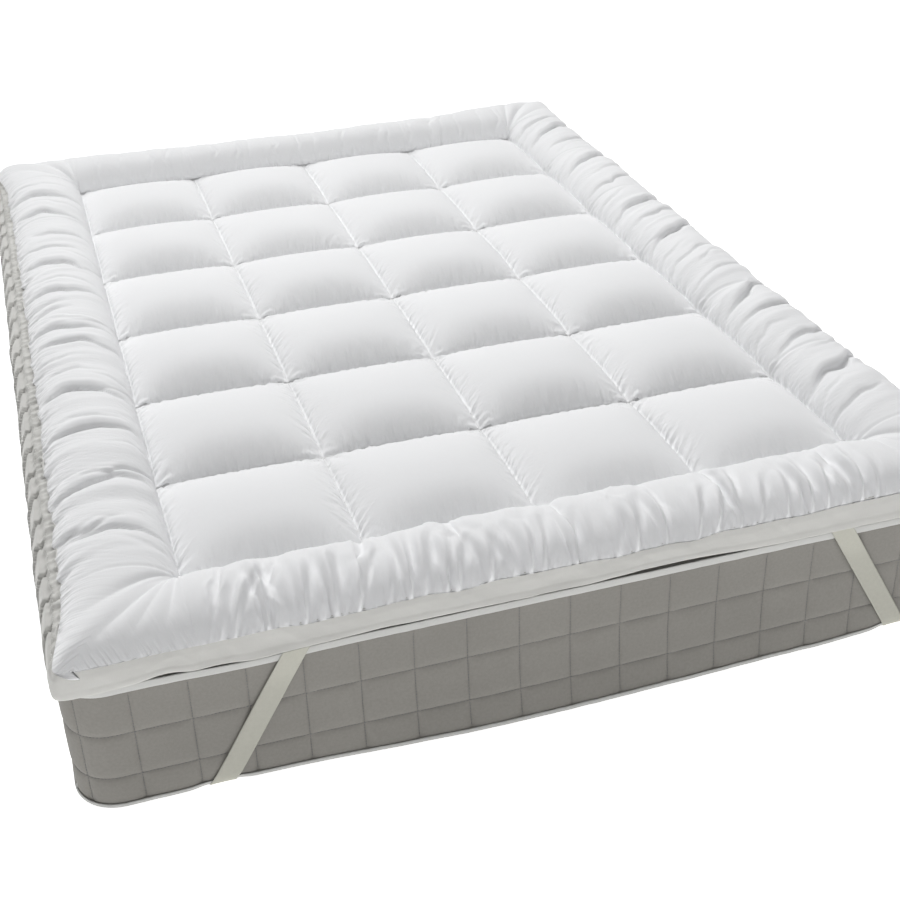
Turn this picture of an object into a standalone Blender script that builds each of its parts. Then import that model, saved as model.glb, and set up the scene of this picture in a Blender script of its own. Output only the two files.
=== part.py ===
"""A quilted mattress topper with a gathered border, strapped to a plain mattress.

The topper lies on the mattress. Its quilted pad is one filled body: square cells sewn down
between channels, inside a thick border roll with gathers. A side band closes the pad's edge,
and an elastic strap at each corner runs from the band's hem round the mattress's underside.
X is across the bed, +Y points to the head end, and the floor is Z = 0.
"""
import math
from collections import namedtuple

import bmesh
import bpy
from mathutils import Vector

# Mattress, in metres: a double of 137 x 190 cm
MATTRESS_WIDTH = 1.372
MATTRESS_LENGTH = 1.892
MATTRESS_HEIGHT = 0.2105
MATTRESS_CORNER = 0.062
CORNER_STEPS = 8

# Quilted squares
COLUMNS = 4
ROWS = 6
COLUMN_PITCH = 0.264
ROW_PITCH = 0.268
STEPS_PER_CELL = 8
SEAM_ABOVE_MATTRESS = 0.0215
CELL_CROWN = 0.036
CELL_EDGE_POWER = 2.6
CELL_TOP_POWER = 0.72
CROSSING_DIMPLE = 0.004
CROSSING_RADIUS = 0.030
CROWN_UNEVENNESS = 0.05

# Border roll round the squares
BORDER_CROWN = 0.053
BAND_SEAM_RISE = 0.0145
FAN_STEPS = 6
CORNER_SQUARENESS = 12
CORNER_CREASE = 0.007
CORNER_CREASE_ANGLE = 20
CORNER_MIDDLE_ANGLE = 45
GATHER_DRAW_IN = 0.5
GATHER_HEEL = 0.12

# Side band, straps and tapes
BAND_THICKNESS = 0.0025
FIT_GAP = 0.0006
REST_GAP = 0.0003
HEM_LIFT = 0.007
HEM_FLAT_INSET = 0.060
CORE_TUCK = 0.002
STRAP_WIDTH = 0.032
STRAP_THICKNESS = 0.0012
STRAP_OFF_WALL = 0.0029
GROOVE_START = 0.010
GROOVE_OVERRUN = 0.025
GROOVE_HEIGHT = 0.0022
GROOVE_MARGIN = 0.003
TAPE_PROUD = 0.0025

# How far each side reaches out from the outermost quilting seam: to the mattress's wall, and at
# the corners to the seam with the band and to the band's widest point. Between the corners the
# gathers draw the seam in, by the tuck at once and by the bow most at the middle, and the band
# follows by a share of that. The roll stands proud of the seam.
Side = namedtuple("Side", "wall seam splay tuck bow follows proud")
LEFT = Side(wall=0.186, seam=0.187, splay=0.193, tuck=0.028, bow=0.004, follows=0.0, proud=-0.004)
RIGHT = Side(wall=0.130, seam=0.156, splay=0.160, tuck=0.006, bow=0.008, follows=1.0, proud=0.006)
FRONT = Side(wall=0.157, seam=0.156, splay=0.164, tuck=0.000, bow=0.000, follows=1.0, proud=0.004)
BACK = Side(wall=0.127, seam=0.156, splay=0.160, tuck=0.004, bow=0.040, follows=1.0, proud=0.005)
BOW_POWER = 0.7
HEM_OUTSIDE_WALL = 0.0045

# Section of the roll, from the quilting seam over its crown to its widest point: how far out,
# as a share of the bulge, and how high, as a share of the crown.
Rib = namedtuple("Rib", "out rise")
ROLL = [
    Rib(0.04, 0.36),
    Rib(0.12, 0.66),
    Rib(0.24, 0.90),
    Rib(0.38, 1.00),
    Rib(0.53, 0.98),
    Rib(0.68, 0.88),
    Rib(0.82, 0.72),
    Rib(0.93, 0.55),
    Rib(1.00, 0.40),
]

# Section of the band, from its top seam to its hem: how far it has gone from the seam towards
# its widest point, then on towards the hem, and its drop as a share of its height.
Fall = namedtuple("Fall", "to_splay to_hem drop")
BAND = [
    Fall(0.00, 0.00, 0.00),
    Fall(0.75, 0.00, 0.27),
    Fall(1.00, 0.10, 0.60),
    Fall(1.00, 1.00, 1.00),
]

# Main gathers of the border. Places along a side are in squares, from the left or front end of
# the grid; lean is the drift from the inner to the outer seam; first and last are shares of the
# border's width between which the gather shows.
Gather = namedtuple("Gather", "at lean depth width first last")
LEFT_GATHERS = [
    Gather(0.27, 0.12, 0.016, 0.024, 0.0, 0.9),
    Gather(0.50, -0.08, 0.009, 0.020, 0.4, 1.0),
    Gather(0.87, -0.03, 0.016, 0.022, 0.0, 1.0),
    Gather(1.42, 0.10, 0.015, 0.024, 0.0, 1.0),
    Gather(1.86, 0.20, 0.020, 0.028, 0.0, 1.0),
    Gather(2.57, 0.15, 0.014, 0.024, 0.0, 0.9),
    Gather(2.85, 0.14, 0.020, 0.028, 0.1, 0.9),
    Gather(3.45, 0.17, 0.018, 0.024, 0.0, 1.0),
    Gather(3.90, 0.28, 0.014, 0.024, 0.0, 1.0),
    Gather(4.60, 0.12, 0.008, 0.022, 0.0, 0.7),
    Gather(5.00, 0.20, 0.012, 0.022, 0.0, 0.9),
    Gather(5.47, 0.14, 0.019, 0.028, 0.0, 1.0),
]
RIGHT_GATHERS = [
    Gather(0.52, 0.25, 0.019, 0.026, 0.0, 1.0),
    Gather(0.98, 0.15, 0.014, 0.024, 0.1, 1.0),
    Gather(1.43, 0.15, 0.011, 0.022, 0.1, 1.0),
    Gather(1.63, 0.30, 0.020, 0.028, 0.0, 1.0),
    Gather(2.10, 0.14, 0.008, 0.022, 0.1, 0.8),
    Gather(2.84, 0.26, 0.020, 0.028, 0.0, 1.0),
    Gather(3.50, 0.18, 0.019, 0.026, 0.0, 1.0),
    Gather(4.05, 0.18, 0.009, 0.024, 0.1, 0.8),
    Gather(4.50, 0.36, 0.019, 0.028, 0.0, 1.0),
    Gather(5.10, 0.20, 0.009, 0.022, 0.2, 0.8),
    Gather(5.38, 0.36, 0.020, 0.028, 0.0, 1.0),
]
FRONT_GATHERS = [
    Gather(0.24, -0.16, 0.018, 0.026, 0.1, 1.0),
    Gather(0.52, -0.12, 0.012, 0.022, 0.1, 1.0),
    Gather(1.00, -0.17, 0.016, 0.024, 0.0, 1.0),
    Gather(1.42, 0.04, 0.019, 0.026, 0.0, 0.9),
    Gather(2.03, -0.03, 0.016, 0.024, 0.0, 1.0),
    Gather(2.52, 0.08, 0.009, 0.022, 0.0, 0.8),
    Gather(2.92, 0.00, 0.019, 0.024, 0.0, 1.0),
    Gather(3.64, -0.02, 0.018, 0.026, 0.0, 1.0),
]
BACK_GATHERS = [
    Gather(0.37, 0.00, 0.014, 0.022, 0.0, 1.0),
    Gather(0.96, 0.00, 0.008, 0.022, 0.0, 0.8),
    Gather(1.55, 0.02, 0.011, 0.022, 0.0, 1.0),
    Gather(2.12, 0.05, 0.016, 0.024, 0.0, 1.0),
    Gather(2.72, 0.08, 0.011, 0.022, 0.0, 1.0),
    Gather(3.22, 0.18, 0.018, 0.026, 0.0, 1.0),
    Gather(3.75, 0.10, 0.011, 0.022, 0.0, 0.9),
]

# Where the band's hem lifts off the mattress along the front, in squares from the left.
Lift = namedtuple("Lift", "at spread height")
FRONT_LIFTS = [
    Lift(-0.15, 0.14, 0.35),
    Lift(1.20, 0.50, 0.30),
    Lift(2.55, 0.42, 1.00),
]

# Elastic straps: which corner, how far along the walls from it they leave the hem, and how much
# nearer to it they reach the floor.
Strap = namedtuple("Strap", "name east north from_corner lean")
STRAPS = [
    Strap("front_left", -1, -1, 0.312, 0.120),
    Strap("front_right", 1, -1, 0.243, 0.123),
    Strap("back_left", -1, 1, 0.294, 0.114),
    Strap("back_right", 1, 1, 0.274, 0.114),
]

# Everything else follows from the sizes above.
GRID_LEFT = LEFT.wall - MATTRESS_WIDTH / 2
GRID_FRONT = FRONT.wall - MATTRESS_LENGTH / 2
GRID_RIGHT = GRID_LEFT + COLUMNS * COLUMN_PITCH
GRID_BACK = GRID_FRONT + ROWS * ROW_PITCH
QUILT_SEAM_Z = MATTRESS_HEIGHT + SEAM_ABOVE_MATTRESS
BAND_SEAM_Z = QUILT_SEAM_Z + BAND_SEAM_RISE
HEM_Z = MATTRESS_HEIGHT + REST_GAP
STRAP_TOP_Z = HEM_Z - 2 * REST_GAP

# A strap's fall at a wall: its height, how far off the wall its inner face is, and the way out.
Drop = namedtuple("Drop", "height off outwards")
STRAP_FALL = [
    Drop(STRAP_TOP_Z, STRAP_OFF_WALL, (-1, 0)),
    Drop(MATTRESS_HEIGHT * 0.5, STRAP_OFF_WALL, (-1, 0)),
    Drop(0.0092, STRAP_OFF_WALL, (-1, 0)),
    Drop(0.0020, 0.0028, (-1, -1)),
]


def clear_scene():
    for old in list(bpy.data.objects):
        bpy.data.objects.remove(old, do_unlink=True)


def make_material(name, colour, roughness):
    """A matt cloth finish."""
    material = bpy.data.materials.new(name)
    material.use_nodes = True
    shader = material.node_tree.nodes["Principled BSDF"]
    shader.inputs["Base Color"].default_value = (*colour, 1.0)
    shader.inputs["Roughness"].default_value = roughness
    shader.inputs["Metallic"].default_value = 0.0
    return material


def add_object(name, points, faces, material, smooth_angle=40):
    """One closed, smooth-shaded piece from its points and faces."""
    mesh = bpy.data.meshes.new(name)
    mesh.from_pydata(points, [], faces)
    shell = bmesh.new()
    shell.from_mesh(mesh)
    bmesh.ops.recalc_face_normals(shell, faces=shell.faces)
    shell.to_mesh(mesh)
    shell.free()
    mesh.materials.append(material)
    mesh.shade_smooth()
    mesh.set_sharp_from_angle(angle=math.radians(smooth_angle))
    piece = bpy.data.objects.new(name, mesh)
    bpy.context.scene.collection.objects.link(piece)
    return piece


def ring_faces(rings, rising=False):
    """Triangles between neighbouring closed rings of point numbers.

    Each quad is split from its upper end on to its lower start, or the other way if rising, so
    that two pieces which lie face to face can be split alike.
    """
    faces = []
    for upper, lower in zip(rings, rings[1:]):
        for k in range(len(upper)):
            after = (k + 1) % len(upper)
            if rising:
                halves = [upper[k], lower[k], lower[after]], [upper[k], lower[after], upper[after]]
            else:
                halves = [upper[k], lower[k], upper[after]], [lower[k], lower[after], upper[after]]
            faces += [half for half in halves if len(set(half)) == 3]
    return faces


# ---- Stations round the border -----------------------------------------------------------------

Station = namedtuple("Station", "start angle side along")


def border_stations():
    """Places round the outermost quilting seam, anticlockwise from the front left corner.

    Each has its start point on the seam, the way out as an angle in degrees, the side that it
    belongs to, and its place along that side in squares. A corner has a fan of stations.
    """
    stations = []
    across = COLUMNS * STEPS_PER_CELL
    along = ROWS * STEPS_PER_CELL
    for k in range(across + 1):
        x = GRID_LEFT + k * COLUMN_PITCH / STEPS_PER_CELL
        stations.append(Station((x, GRID_FRONT), 270, "front", k / STEPS_PER_CELL))
    stations += corner_fan((GRID_RIGHT, GRID_FRONT), 270)
    for k in range(along + 1):
        y = GRID_FRONT + k * ROW_PITCH / STEPS_PER_CELL
        stations.append(Station((GRID_RIGHT, y), 0, "right", k / STEPS_PER_CELL))
    stations += corner_fan((GRID_RIGHT, GRID_BACK), 0)
    for k in range(across, -1, -1):
        x = GRID_LEFT + k * COLUMN_PITCH / STEPS_PER_CELL
        stations.append(Station((x, GRID_BACK), 90, "back", k / STEPS_PER_CELL))
    stations += corner_fan((GRID_LEFT, GRID_BACK), 90)
    for k in range(along, -1, -1):
        y = GRID_FRONT + k * ROW_PITCH / STEPS_PER_CELL
        stations.append(Station((GRID_LEFT, y), 180, "left", k / STEPS_PER_CELL))
    stations += corner_fan((GRID_LEFT, GRID_FRONT), 180)
    return stations


def corner_fan(corner, first_angle):
    """Stations that share a corner of the grid and turn from one side's way out to the next."""
    turn = 90 / FAN_STEPS
    return [Station(corner, first_angle + turn * k, "corner", turn * k) for k in range(1, FAN_STEPS)]


def reach(station, sizes):
    """Distance from the station's start to an outline that lies sizes(side) out on each side."""
    angle = math.radians(station.angle)
    east, north = math.cos(angle), math.sin(angle)
    wide = sizes(RIGHT if east > 0 else LEFT)
    deep = sizes(BACK if north > 0 else FRONT)
    power = CORNER_SQUARENESS
    return ((abs(east) / wide) ** power + (abs(north) / deep) ** power) ** (-1 / power)


def drawn_in(station, side):
    """How far the gathers draw a side's seam in at a station."""
    if station.side == "corner":
        off_axis = math.radians(station.angle % 90)
        return side.tuck * abs(math.cos(2 * off_axis))
    cells = ROWS if station.side in ("left", "right") else COLUMNS
    return side.tuck + side.bow * max(math.sin(math.pi * station.along / cells), 0) ** BOW_POWER


def seam_reach(station):
    return reach(station, lambda side: side.seam - drawn_in(station, side))


def splay_reach(station):
    return reach(station, lambda side: side.splay - side.follows * drawn_in(station, side))


def bulge_reach(station):
    return reach(station, lambda side: side.seam + side.proud - drawn_in(station, side))


def place(station, out, z):
    angle = math.radians(station.angle)
    x = station.start[0] + out * math.cos(angle)
    y = station.start[1] + out * math.sin(angle)
    return Vector((x, y, z))


def gather_depth(station, share):
    """How deep the gathers press the roll at a share of the border's width.

    A gather is deepest half way along, and keeps some of its depth at its two ends.
    """
    if station.side == "corner":
        off = (station.along - CORNER_MIDDLE_ANGLE) / CORNER_CREASE_ANGLE
        return CORNER_CREASE * math.exp(-off * off) * math.sin(math.pi * share)
    gathers = {"left": LEFT_GATHERS, "right": RIGHT_GATHERS, "front": FRONT_GATHERS, "back": BACK_GATHERS}
    pitch = ROW_PITCH if station.side in ("left", "right") else COLUMN_PITCH
    depth = 0.0
    for gather in gathers[station.side]:
        if not gather.first <= share <= gather.last:
            continue
        within = (share - gather.first) / (gather.last - gather.first)
        swell = math.sin(math.pi * (GATHER_HEEL + (1 - 2 * GATHER_HEEL) * within)) ** 0.5
        off = (station.along - gather.at - gather.lean * share) * pitch / gather.width
        depth += gather.depth * swell * math.exp(-off * off)
    return depth


def hem_lift(station):
    """How far the band's hem stands off the mattress."""
    if station.side != "front":
        return 0.0
    lifts = (t.height * math.exp(-((station.along - t.at) / t.spread) ** 4) for t in FRONT_LIFTS)
    return HEM_LIFT * sum(lifts)


# ---- Quilted pad and side band -----------------------------------------------------------------

def pillow(share):
    """Section of a filled square between two seams, from 0 to 1 and back to 0."""
    return (1 - abs(2 * share - 1) ** CELL_EDGE_POWER) ** CELL_TOP_POWER


def quilt_height(column, row):
    """Height of the quilted top, at a place given in squares."""
    filling = 1 + CROWN_UNEVENNESS * math.sin(2.1 * math.floor(column) + 3.7 * math.floor(row))
    rise = CELL_CROWN * filling * pillow(column % 1) * pillow(row % 1)
    to_crossing = math.hypot((column - round(column)) * COLUMN_PITCH, (row - round(row)) * ROW_PITCH)
    dimple = CROSSING_DIMPLE * math.exp(-((to_crossing / CROSSING_RADIUS) ** 2))
    return QUILT_SEAM_Z + rise - dimple


def band_section(station, inset):
    """The band's face as (out, z) pairs from seam to hem, moved inwards from its outside by inset."""
    seam, splay = seam_reach(station), splay_reach(station)
    hem = reach(station, lambda side: side.wall) + HEM_OUTSIDE_WALL
    top = BAND_SEAM_Z - FIT_GAP
    foot = HEM_Z + hem_lift(station)
    section = []
    for fall in BAND:
        out = seam + (splay - seam) * fall.to_splay
        out += (hem - out) * fall.to_hem
        section.append(Vector((out, top + (foot - top) * fall.drop)))
    moved = []
    for k, point in enumerate(section):
        before = section[max(k - 1, 0)]
        after = section[min(k + 1, len(section) - 1)]
        run = (after - before).normalized()
        inwards = Vector((run.y, -run.x))
        at_edge = k in (0, len(section) - 1)
        shift = Vector((inset / inwards.x, 0)) if at_edge else inwards * inset
        moved.append(point + shift)
    return moved


def add_ring(points, stations, where):
    """One ring of points round the border, where(station) giving each one's (out, z)."""
    ring = []
    for station in stations:
        ring.append(len(points))
        points.append(place(station, *where(station)))
    return ring


def roll_point(station, rib):
    """A point of the border roll's section, pressed down and drawn in by the gathers."""
    pressed = gather_depth(station, rib.out)
    out = bulge_reach(station) * rib.out - pressed * GATHER_DRAW_IN * rib.out ** 3
    return out, QUILT_SEAM_Z + BORDER_CROWN * rib.rise - pressed * (1 - rib.out ** 4)


def seam_point(station):
    return seam_reach(station), BAND_SEAM_Z


def core_point(station, level):
    """A point of the filled core, which stays clear of the band's inside."""
    out, z = band_section(station, BAND_THICKNESS + FIT_GAP)[level]
    return (out - CORE_TUCK, BAND_SEAM_Z) if level == 0 else (out, z)


def flat_point(station):
    """Where the pad's underside lies flat on the mattress, inside a lifted hem."""
    return core_point(station, len(BAND) - 1)[0] - HEM_FLAT_INSET, HEM_Z


def quilted_grid(points):
    """Adds the quilted squares' points and returns their numbers by column and row step."""
    grid = {}
    for i in range(COLUMNS * STEPS_PER_CELL + 1):
        for j in range(ROWS * STEPS_PER_CELL + 1):
            column, row = i / STEPS_PER_CELL, j / STEPS_PER_CELL
            grid[i, j] = len(points)
            x, y = GRID_LEFT + column * COLUMN_PITCH, GRID_FRONT + row * ROW_PITCH
            points.append(Vector((x, y, quilt_height(column, row))))
    return grid


def build_quilted_pad(material):
    """The filled pad: quilted squares, the border roll, and the core inside the side band."""
    stations = border_stations()
    points = []
    grid = quilted_grid(points)
    faces = [
        [grid[i, j], grid[i + 1, j], grid[i + 1, j + 1], grid[i, j + 1]]
        for i in range(COLUMNS * STEPS_PER_CELL)
        for j in range(ROWS * STEPS_PER_CELL)
    ]
    seam_ring = []
    for station in stations:
        i = round((station.start[0] - GRID_LEFT) / COLUMN_PITCH * STEPS_PER_CELL)
        j = round((station.start[1] - GRID_FRONT) / ROW_PITCH * STEPS_PER_CELL)
        seam_ring.append(grid[i, j])
    rings = [seam_ring]
    rings += [add_ring(points, stations, lambda s: roll_point(s, rib)) for rib in ROLL]
    rings.append(add_ring(points, stations, seam_point))
    rings += [add_ring(points, stations, lambda s: core_point(s, level)) for level in range(len(BAND))]
    rings.append(add_ring(points, stations, flat_point))
    faces += ring_faces(rings)
    faces.append(list(reversed(rings[-1])))
    return add_object("quilted_pad", points, faces, material)


def build_side_band(material):
    """The strip of cloth that closes the pad's edge, with its hem on the mattress."""
    stations = border_stations()
    points = []
    outside = [
        add_ring(points, stations, lambda s: band_section(s, 0.0)[level]) for level in range(len(BAND))
    ]
    inside = [
        add_ring(points, stations, lambda s: band_section(s, BAND_THICKNESS)[level])
        for level in range(len(BAND))
    ]
    faces = ring_faces(outside) + ring_faces(inside[::-1], rising=True)
    faces += ring_faces([outside[-1], inside[-1]]) + ring_faces([inside[0], outside[0]])
    return add_object("side_band", points, faces, material)


# ---- Mattress and its tapes --------------------------------------------------------------------

# Section of the mattress's edge, from the floor up: inset from the wall, and height.
Edge = namedtuple("Edge", "inset height")
MATTRESS_SECTION = [
    Edge(0.006, 0.0),
    Edge(0.0015, 0.0007),
    Edge(0.000, 0.0025),
    Edge(0.000, MATTRESS_HEIGHT - 0.014),
    Edge(0.004, MATTRESS_HEIGHT - 0.004),
    Edge(0.014, MATTRESS_HEIGHT),
]
TOP_TAPE = Edge(0.0, MATTRESS_HEIGHT - 0.008)
TOP_TAPE_HALF = 0.0062
BOTTOM_TAPE = Edge(0.0, 0.0058)
BOTTOM_TAPE_HALF = 0.003
TAPE_FLAT_SHARE = 0.6
SMALLEST_CORNER = 0.004


def rounded_outline(inset):
    """Points round the mattress, anticlockwise, inset from its wall."""
    half_x, half_y = MATTRESS_WIDTH / 2, MATTRESS_LENGTH / 2
    radius = max(MATTRESS_CORNER - inset, SMALLEST_CORNER)
    outline = []
    for east, north, first in ((1, 1, 0), (-1, 1, 90), (-1, -1, 180), (1, -1, 270)):
        centre_x = east * (half_x - MATTRESS_CORNER)
        centre_y = north * (half_y - MATTRESS_CORNER)
        for k in range(CORNER_STEPS + 1):
            angle = math.radians(first + 90 * k / CORNER_STEPS)
            outline.append((centre_x + radius * math.cos(angle), centre_y + radius * math.sin(angle)))
    return outline


def outline_ring(points, inset, z):
    ring = []
    for x, y in rounded_outline(inset):
        ring.append(len(points))
        points.append(Vector((x, y, z)))
    return ring


def build_mattress(material, grooves):
    """The plain mattress, with a shallow groove under each corner where the strap presses in."""
    points = []
    rings = [outline_ring(points, edge.inset, edge.height) for edge in reversed(MATTRESS_SECTION)]
    faces = ring_faces(rings) + [rings[0], list(reversed(rings[-1]))]
    mattress = add_object("mattress", points, faces, material)
    for groove in grooves:
        cut = mattress.modifiers.new(groove.name, "BOOLEAN")
        cut.operation = "DIFFERENCE"
        cut.solver = "EXACT"
        cut.object = groove
    return mattress


def build_tape(name, centre, half_height, material):
    """A folded tape sewn round the mattress's wall, 0.3 mm off the solid and proud of it."""
    points = []
    inner = -REST_GAP
    outer = -TAPE_PROUD
    section = [
        Edge(outer, centre.height + half_height * TAPE_FLAT_SHARE),
        Edge(outer, centre.height - half_height * TAPE_FLAT_SHARE),
        Edge(inner, centre.height - half_height),
        Edge(inner, centre.height + half_height),
    ]
    rings = [outline_ring(points, edge.inset, edge.height) for edge in section]
    return add_object(name, points, ring_faces(rings + rings[:1]), material, smooth_angle=60)


# ---- Corner straps -----------------------------------------------------------------------------


# Cross lines of a strap, for a corner whose walls are the lines a = 0 and b = 0, with the mattress
# at positive a and b. Each has a centre on the strap's inner face, half its width, and the way
# out of its outer face.
CrossLine = namedtuple("CrossLine", "centre half outwards")


def wall_lines(strap):
    """Cross lines down the front or back wall, from under the hem to below the mattress."""
    slant = math.hypot(strap.lean, MATTRESS_HEIGHT) / MATTRESS_HEIGHT
    half = Vector((STRAP_WIDTH * slant / 2, 0, 0))
    lines = []
    for height, off, outwards in STRAP_FALL:
        a = strap.from_corner - strap.lean * (1 - height / MATTRESS_HEIGHT)
        lines.append(CrossLine(Vector((a, -off, height)), half, Vector((0, *outwards)).normalized()))
    return lines


def other_wall(line):
    """The same cross line on the corner's other wall."""
    return CrossLine(*(Vector((v.y, v.x, v.z)) for v in line))


def under_lines(strap, turns, margin=0.0):
    """Cross lines under the mattress, straight from wall to wall across the corner."""
    a = strap.from_corner - strap.lean
    start, end = Vector((a, GROOVE_START, 0)), Vector((GROOVE_START, a, 0))
    lines = []
    for k in range(turns + 1):
        share = k / turns
        angle = math.radians(90 * share)
        half = Vector((math.cos(angle), math.sin(angle), 0)) * (STRAP_WIDTH / 2 + margin)
        centre = start.lerp(end, share) + Vector((0, 0, REST_GAP + STRAP_THICKNESS))
        lines.append(CrossLine(centre, half, Vector((0, 0, -1))))
    return lines


def add_ribbon(name, lines, strap, thickness, material):
    """A closed ribbon through cross lines, mirrored into its own corner."""
    points = []
    for centre, half, outwards in lines:
        outer = centre + outwards * thickness
        for corner in (centre - half, centre + half, outer + half, outer - half):
            x = strap.east * (MATTRESS_WIDTH / 2 - corner.x)
            y = strap.north * (MATTRESS_LENGTH / 2 - corner.y)
            points.append(Vector((x, y, corner.z)))
    count = len(lines)
    rings = [[4 * k + corner for k in range(count)] for corner in range(4)]
    faces = []
    for k in range(count - 1):
        for corner in range(4):
            after = (corner + 1) % 4
            faces.append([rings[corner][k], rings[after][k], rings[after][k + 1], rings[corner][k + 1]])
    faces.append([ring[0] for ring in rings])
    faces.append([ring[-1] for ring in rings])
    return add_object(name, points, faces, material)


def build_strap(strap, material):
    lines = wall_lines(strap)
    lines += under_lines(strap, turns=6)
    lines += [other_wall(line) for line in reversed(wall_lines(strap))]
    return add_ribbon("corner_strap_" + strap.name, lines, strap, STRAP_THICKNESS, material)


def build_groove(strap, material):
    """Cutter for the hollow that a tight strap presses into the mattress's underside."""
    lines = under_lines(strap, turns=6, margin=GROOVE_MARGIN)
    first = lines[0]
    lines.insert(0, CrossLine(first.centre - Vector((0, GROOVE_OVERRUN, 0)), first.half, first.outwards))
    last = lines[-1]
    lines.append(CrossLine(last.centre - Vector((GROOVE_OVERRUN, 0, 0)), last.half, last.outwards))
    raised = [
        CrossLine(Vector((*line.centre.xy, GROOVE_HEIGHT)), line.half, line.outwards) for line in lines
    ]
    groove = add_ribbon("groove_" + strap.name, raised, strap, 2 * GROOVE_HEIGHT, material)
    groove.hide_render = True
    groove.display_type = "WIRE"
    return groove


def build_all():
    clear_scene()
    cotton = make_material("bright_cotton", (0.90, 0.91, 0.92), 0.85)
    band_cotton = make_material("band_cotton", (0.87, 0.87, 0.86), 0.85)
    elastic = make_material("woven_elastic", (0.62, 0.62, 0.57), 0.8)
    ticking = make_material("mattress_ticking", (0.30, 0.28, 0.25), 0.9)
    tape = make_material("pale_tape", (0.62, 0.62, 0.60), 0.8)
    build_quilted_pad(cotton)
    build_side_band(band_cotton)
    for strap in STRAPS:
        build_strap(strap, elastic)
    build_mattress(ticking, [build_groove(strap, ticking) for strap in STRAPS])
    build_tape("mattress_top_tape", TOP_TAPE, TOP_TAPE_HALF, tape)
    build_tape("mattress_bottom_tape", BOTTOM_TAPE, BOTTOM_TAPE_HALF, tape)


build_all()
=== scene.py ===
import math
from collections import namedtuple

import bpy
import numpy as np
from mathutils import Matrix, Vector


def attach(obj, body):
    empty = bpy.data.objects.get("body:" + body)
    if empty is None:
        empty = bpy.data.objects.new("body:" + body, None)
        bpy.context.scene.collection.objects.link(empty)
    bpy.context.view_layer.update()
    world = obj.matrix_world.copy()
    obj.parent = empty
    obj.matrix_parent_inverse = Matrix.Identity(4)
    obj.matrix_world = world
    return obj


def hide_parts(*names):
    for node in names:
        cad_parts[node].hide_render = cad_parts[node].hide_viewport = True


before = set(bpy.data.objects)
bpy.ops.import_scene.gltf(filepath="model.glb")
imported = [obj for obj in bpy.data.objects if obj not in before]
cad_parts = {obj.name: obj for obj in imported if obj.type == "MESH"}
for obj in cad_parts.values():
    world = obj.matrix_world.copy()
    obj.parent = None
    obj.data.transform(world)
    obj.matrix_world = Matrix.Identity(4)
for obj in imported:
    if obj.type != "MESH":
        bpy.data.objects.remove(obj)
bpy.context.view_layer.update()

# ---- Camera ------------------------------------------------------------------------------------
# It stands beyond the foot of the bed, above its front left corner, and looks down over it.
CAMERA_PLACE = (-0.59158, -2.38257, 1.38001)
CAMERA_TURN = (58.73003, 1.30055, -17.72451)
CAMERA_LENS_MM = 55.566
SENSOR_MM = 36

camera = bpy.data.objects.new("camera", bpy.data.cameras.new("camera"))
camera.data.sensor_width = SENSOR_MM
camera.data.lens = CAMERA_LENS_MM
camera.location = CAMERA_PLACE
camera.rotation_euler = [math.radians(turn) for turn in CAMERA_TURN]
bpy.context.scene.collection.objects.link(camera)
bpy.context.scene.camera = camera


# ---- Floor and light ---------------------------------------------------------------------------
# A white studio floor that runs out of the picture, a faint sky, wide soft lights beyond the head
# of the bed and over its foot, a lamp that hangs over the head end and a weak one beyond the foot.
FLOOR_SIZE = 60
FLOOR_WHITE = (0.93, 0.93, 0.93, 1.0)
FLOOR_GLOW, FLOOR_ROUGHNESS = 0.78, 0.9
SKY_WHITE = (0.97, 0.98, 1.0, 1.0)
SKY_STRENGTH = 0.06
Soft = namedtuple("Soft", "name way_down spread strength")
SOFT_LIGHTS = [
    Soft("soft_behind", (0.04, -0.80, -0.75), 50, 2.20),
    Soft("soft_foot", (0.04, 0.75, -0.60), 90, 0.66),
]
Panel = namedtuple("Panel", "name place aim size power")
PANEL_LIGHTS = [
    Panel("lamp_over_head", (-0.1, 0.5, 2.1), (0.0, 0.95, 0.2), (2.2, 1.0), 13),
    Panel("lamp_at_foot", (1.5, -2.3, 1.9), (0.0, -0.90, 0.25), (1.2, 0.6), 3),
]

floor_material = bpy.data.materials.new("studio_floor")
floor_material.use_nodes = True
floor_shader = floor_material.node_tree.nodes["Principled BSDF"]
floor_shader.inputs["Base Color"].default_value = FLOOR_WHITE
floor_shader.inputs["Roughness"].default_value = FLOOR_ROUGHNESS
floor_shader.inputs["Specular IOR Level"].default_value = 0.0
floor_shader.inputs["Emission Color"].default_value = (1.0, 1.0, 1.0, 1.0)
floor_shader.inputs["Emission Strength"].default_value = FLOOR_GLOW
bpy.ops.mesh.primitive_plane_add(size=FLOOR_SIZE)
floor = bpy.context.object
floor.name = "studio_floor"
floor.data.materials.append(floor_material)


def add_light(name, lamp, place, way):
    holder = bpy.data.objects.new(name, lamp)
    holder.location = place
    holder.rotation_euler = way.to_track_quat("-Z", "Y").to_euler()
    bpy.context.scene.collection.objects.link(holder)


for soft in SOFT_LIGHTS:
    lamp = bpy.data.lights.new(soft.name, "SUN")
    lamp.angle, lamp.energy = math.radians(soft.spread), soft.strength
    add_light(soft.name, lamp, (0, 0, 4), Vector(soft.way_down))

for panel_light in PANEL_LIGHTS:
    lamp = bpy.data.lights.new(panel_light.name, "AREA")
    lamp.shape = "RECTANGLE"
    lamp.size, lamp.size_y = panel_light.size
    lamp.energy = panel_light.power
    add_light(panel_light.name, lamp, panel_light.place, Vector(panel_light.aim) - Vector(panel_light.place))

sky = bpy.data.worlds.new("studio_sky")
sky.use_nodes = True
sky.node_tree.nodes["Background"].inputs["Color"].default_value = SKY_WHITE
sky.node_tree.nodes["Background"].inputs["Strength"].default_value = SKY_STRENGTH
bpy.context.scene.world = sky
bpy.context.scene.view_settings.view_transform = "Standard"


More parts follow.
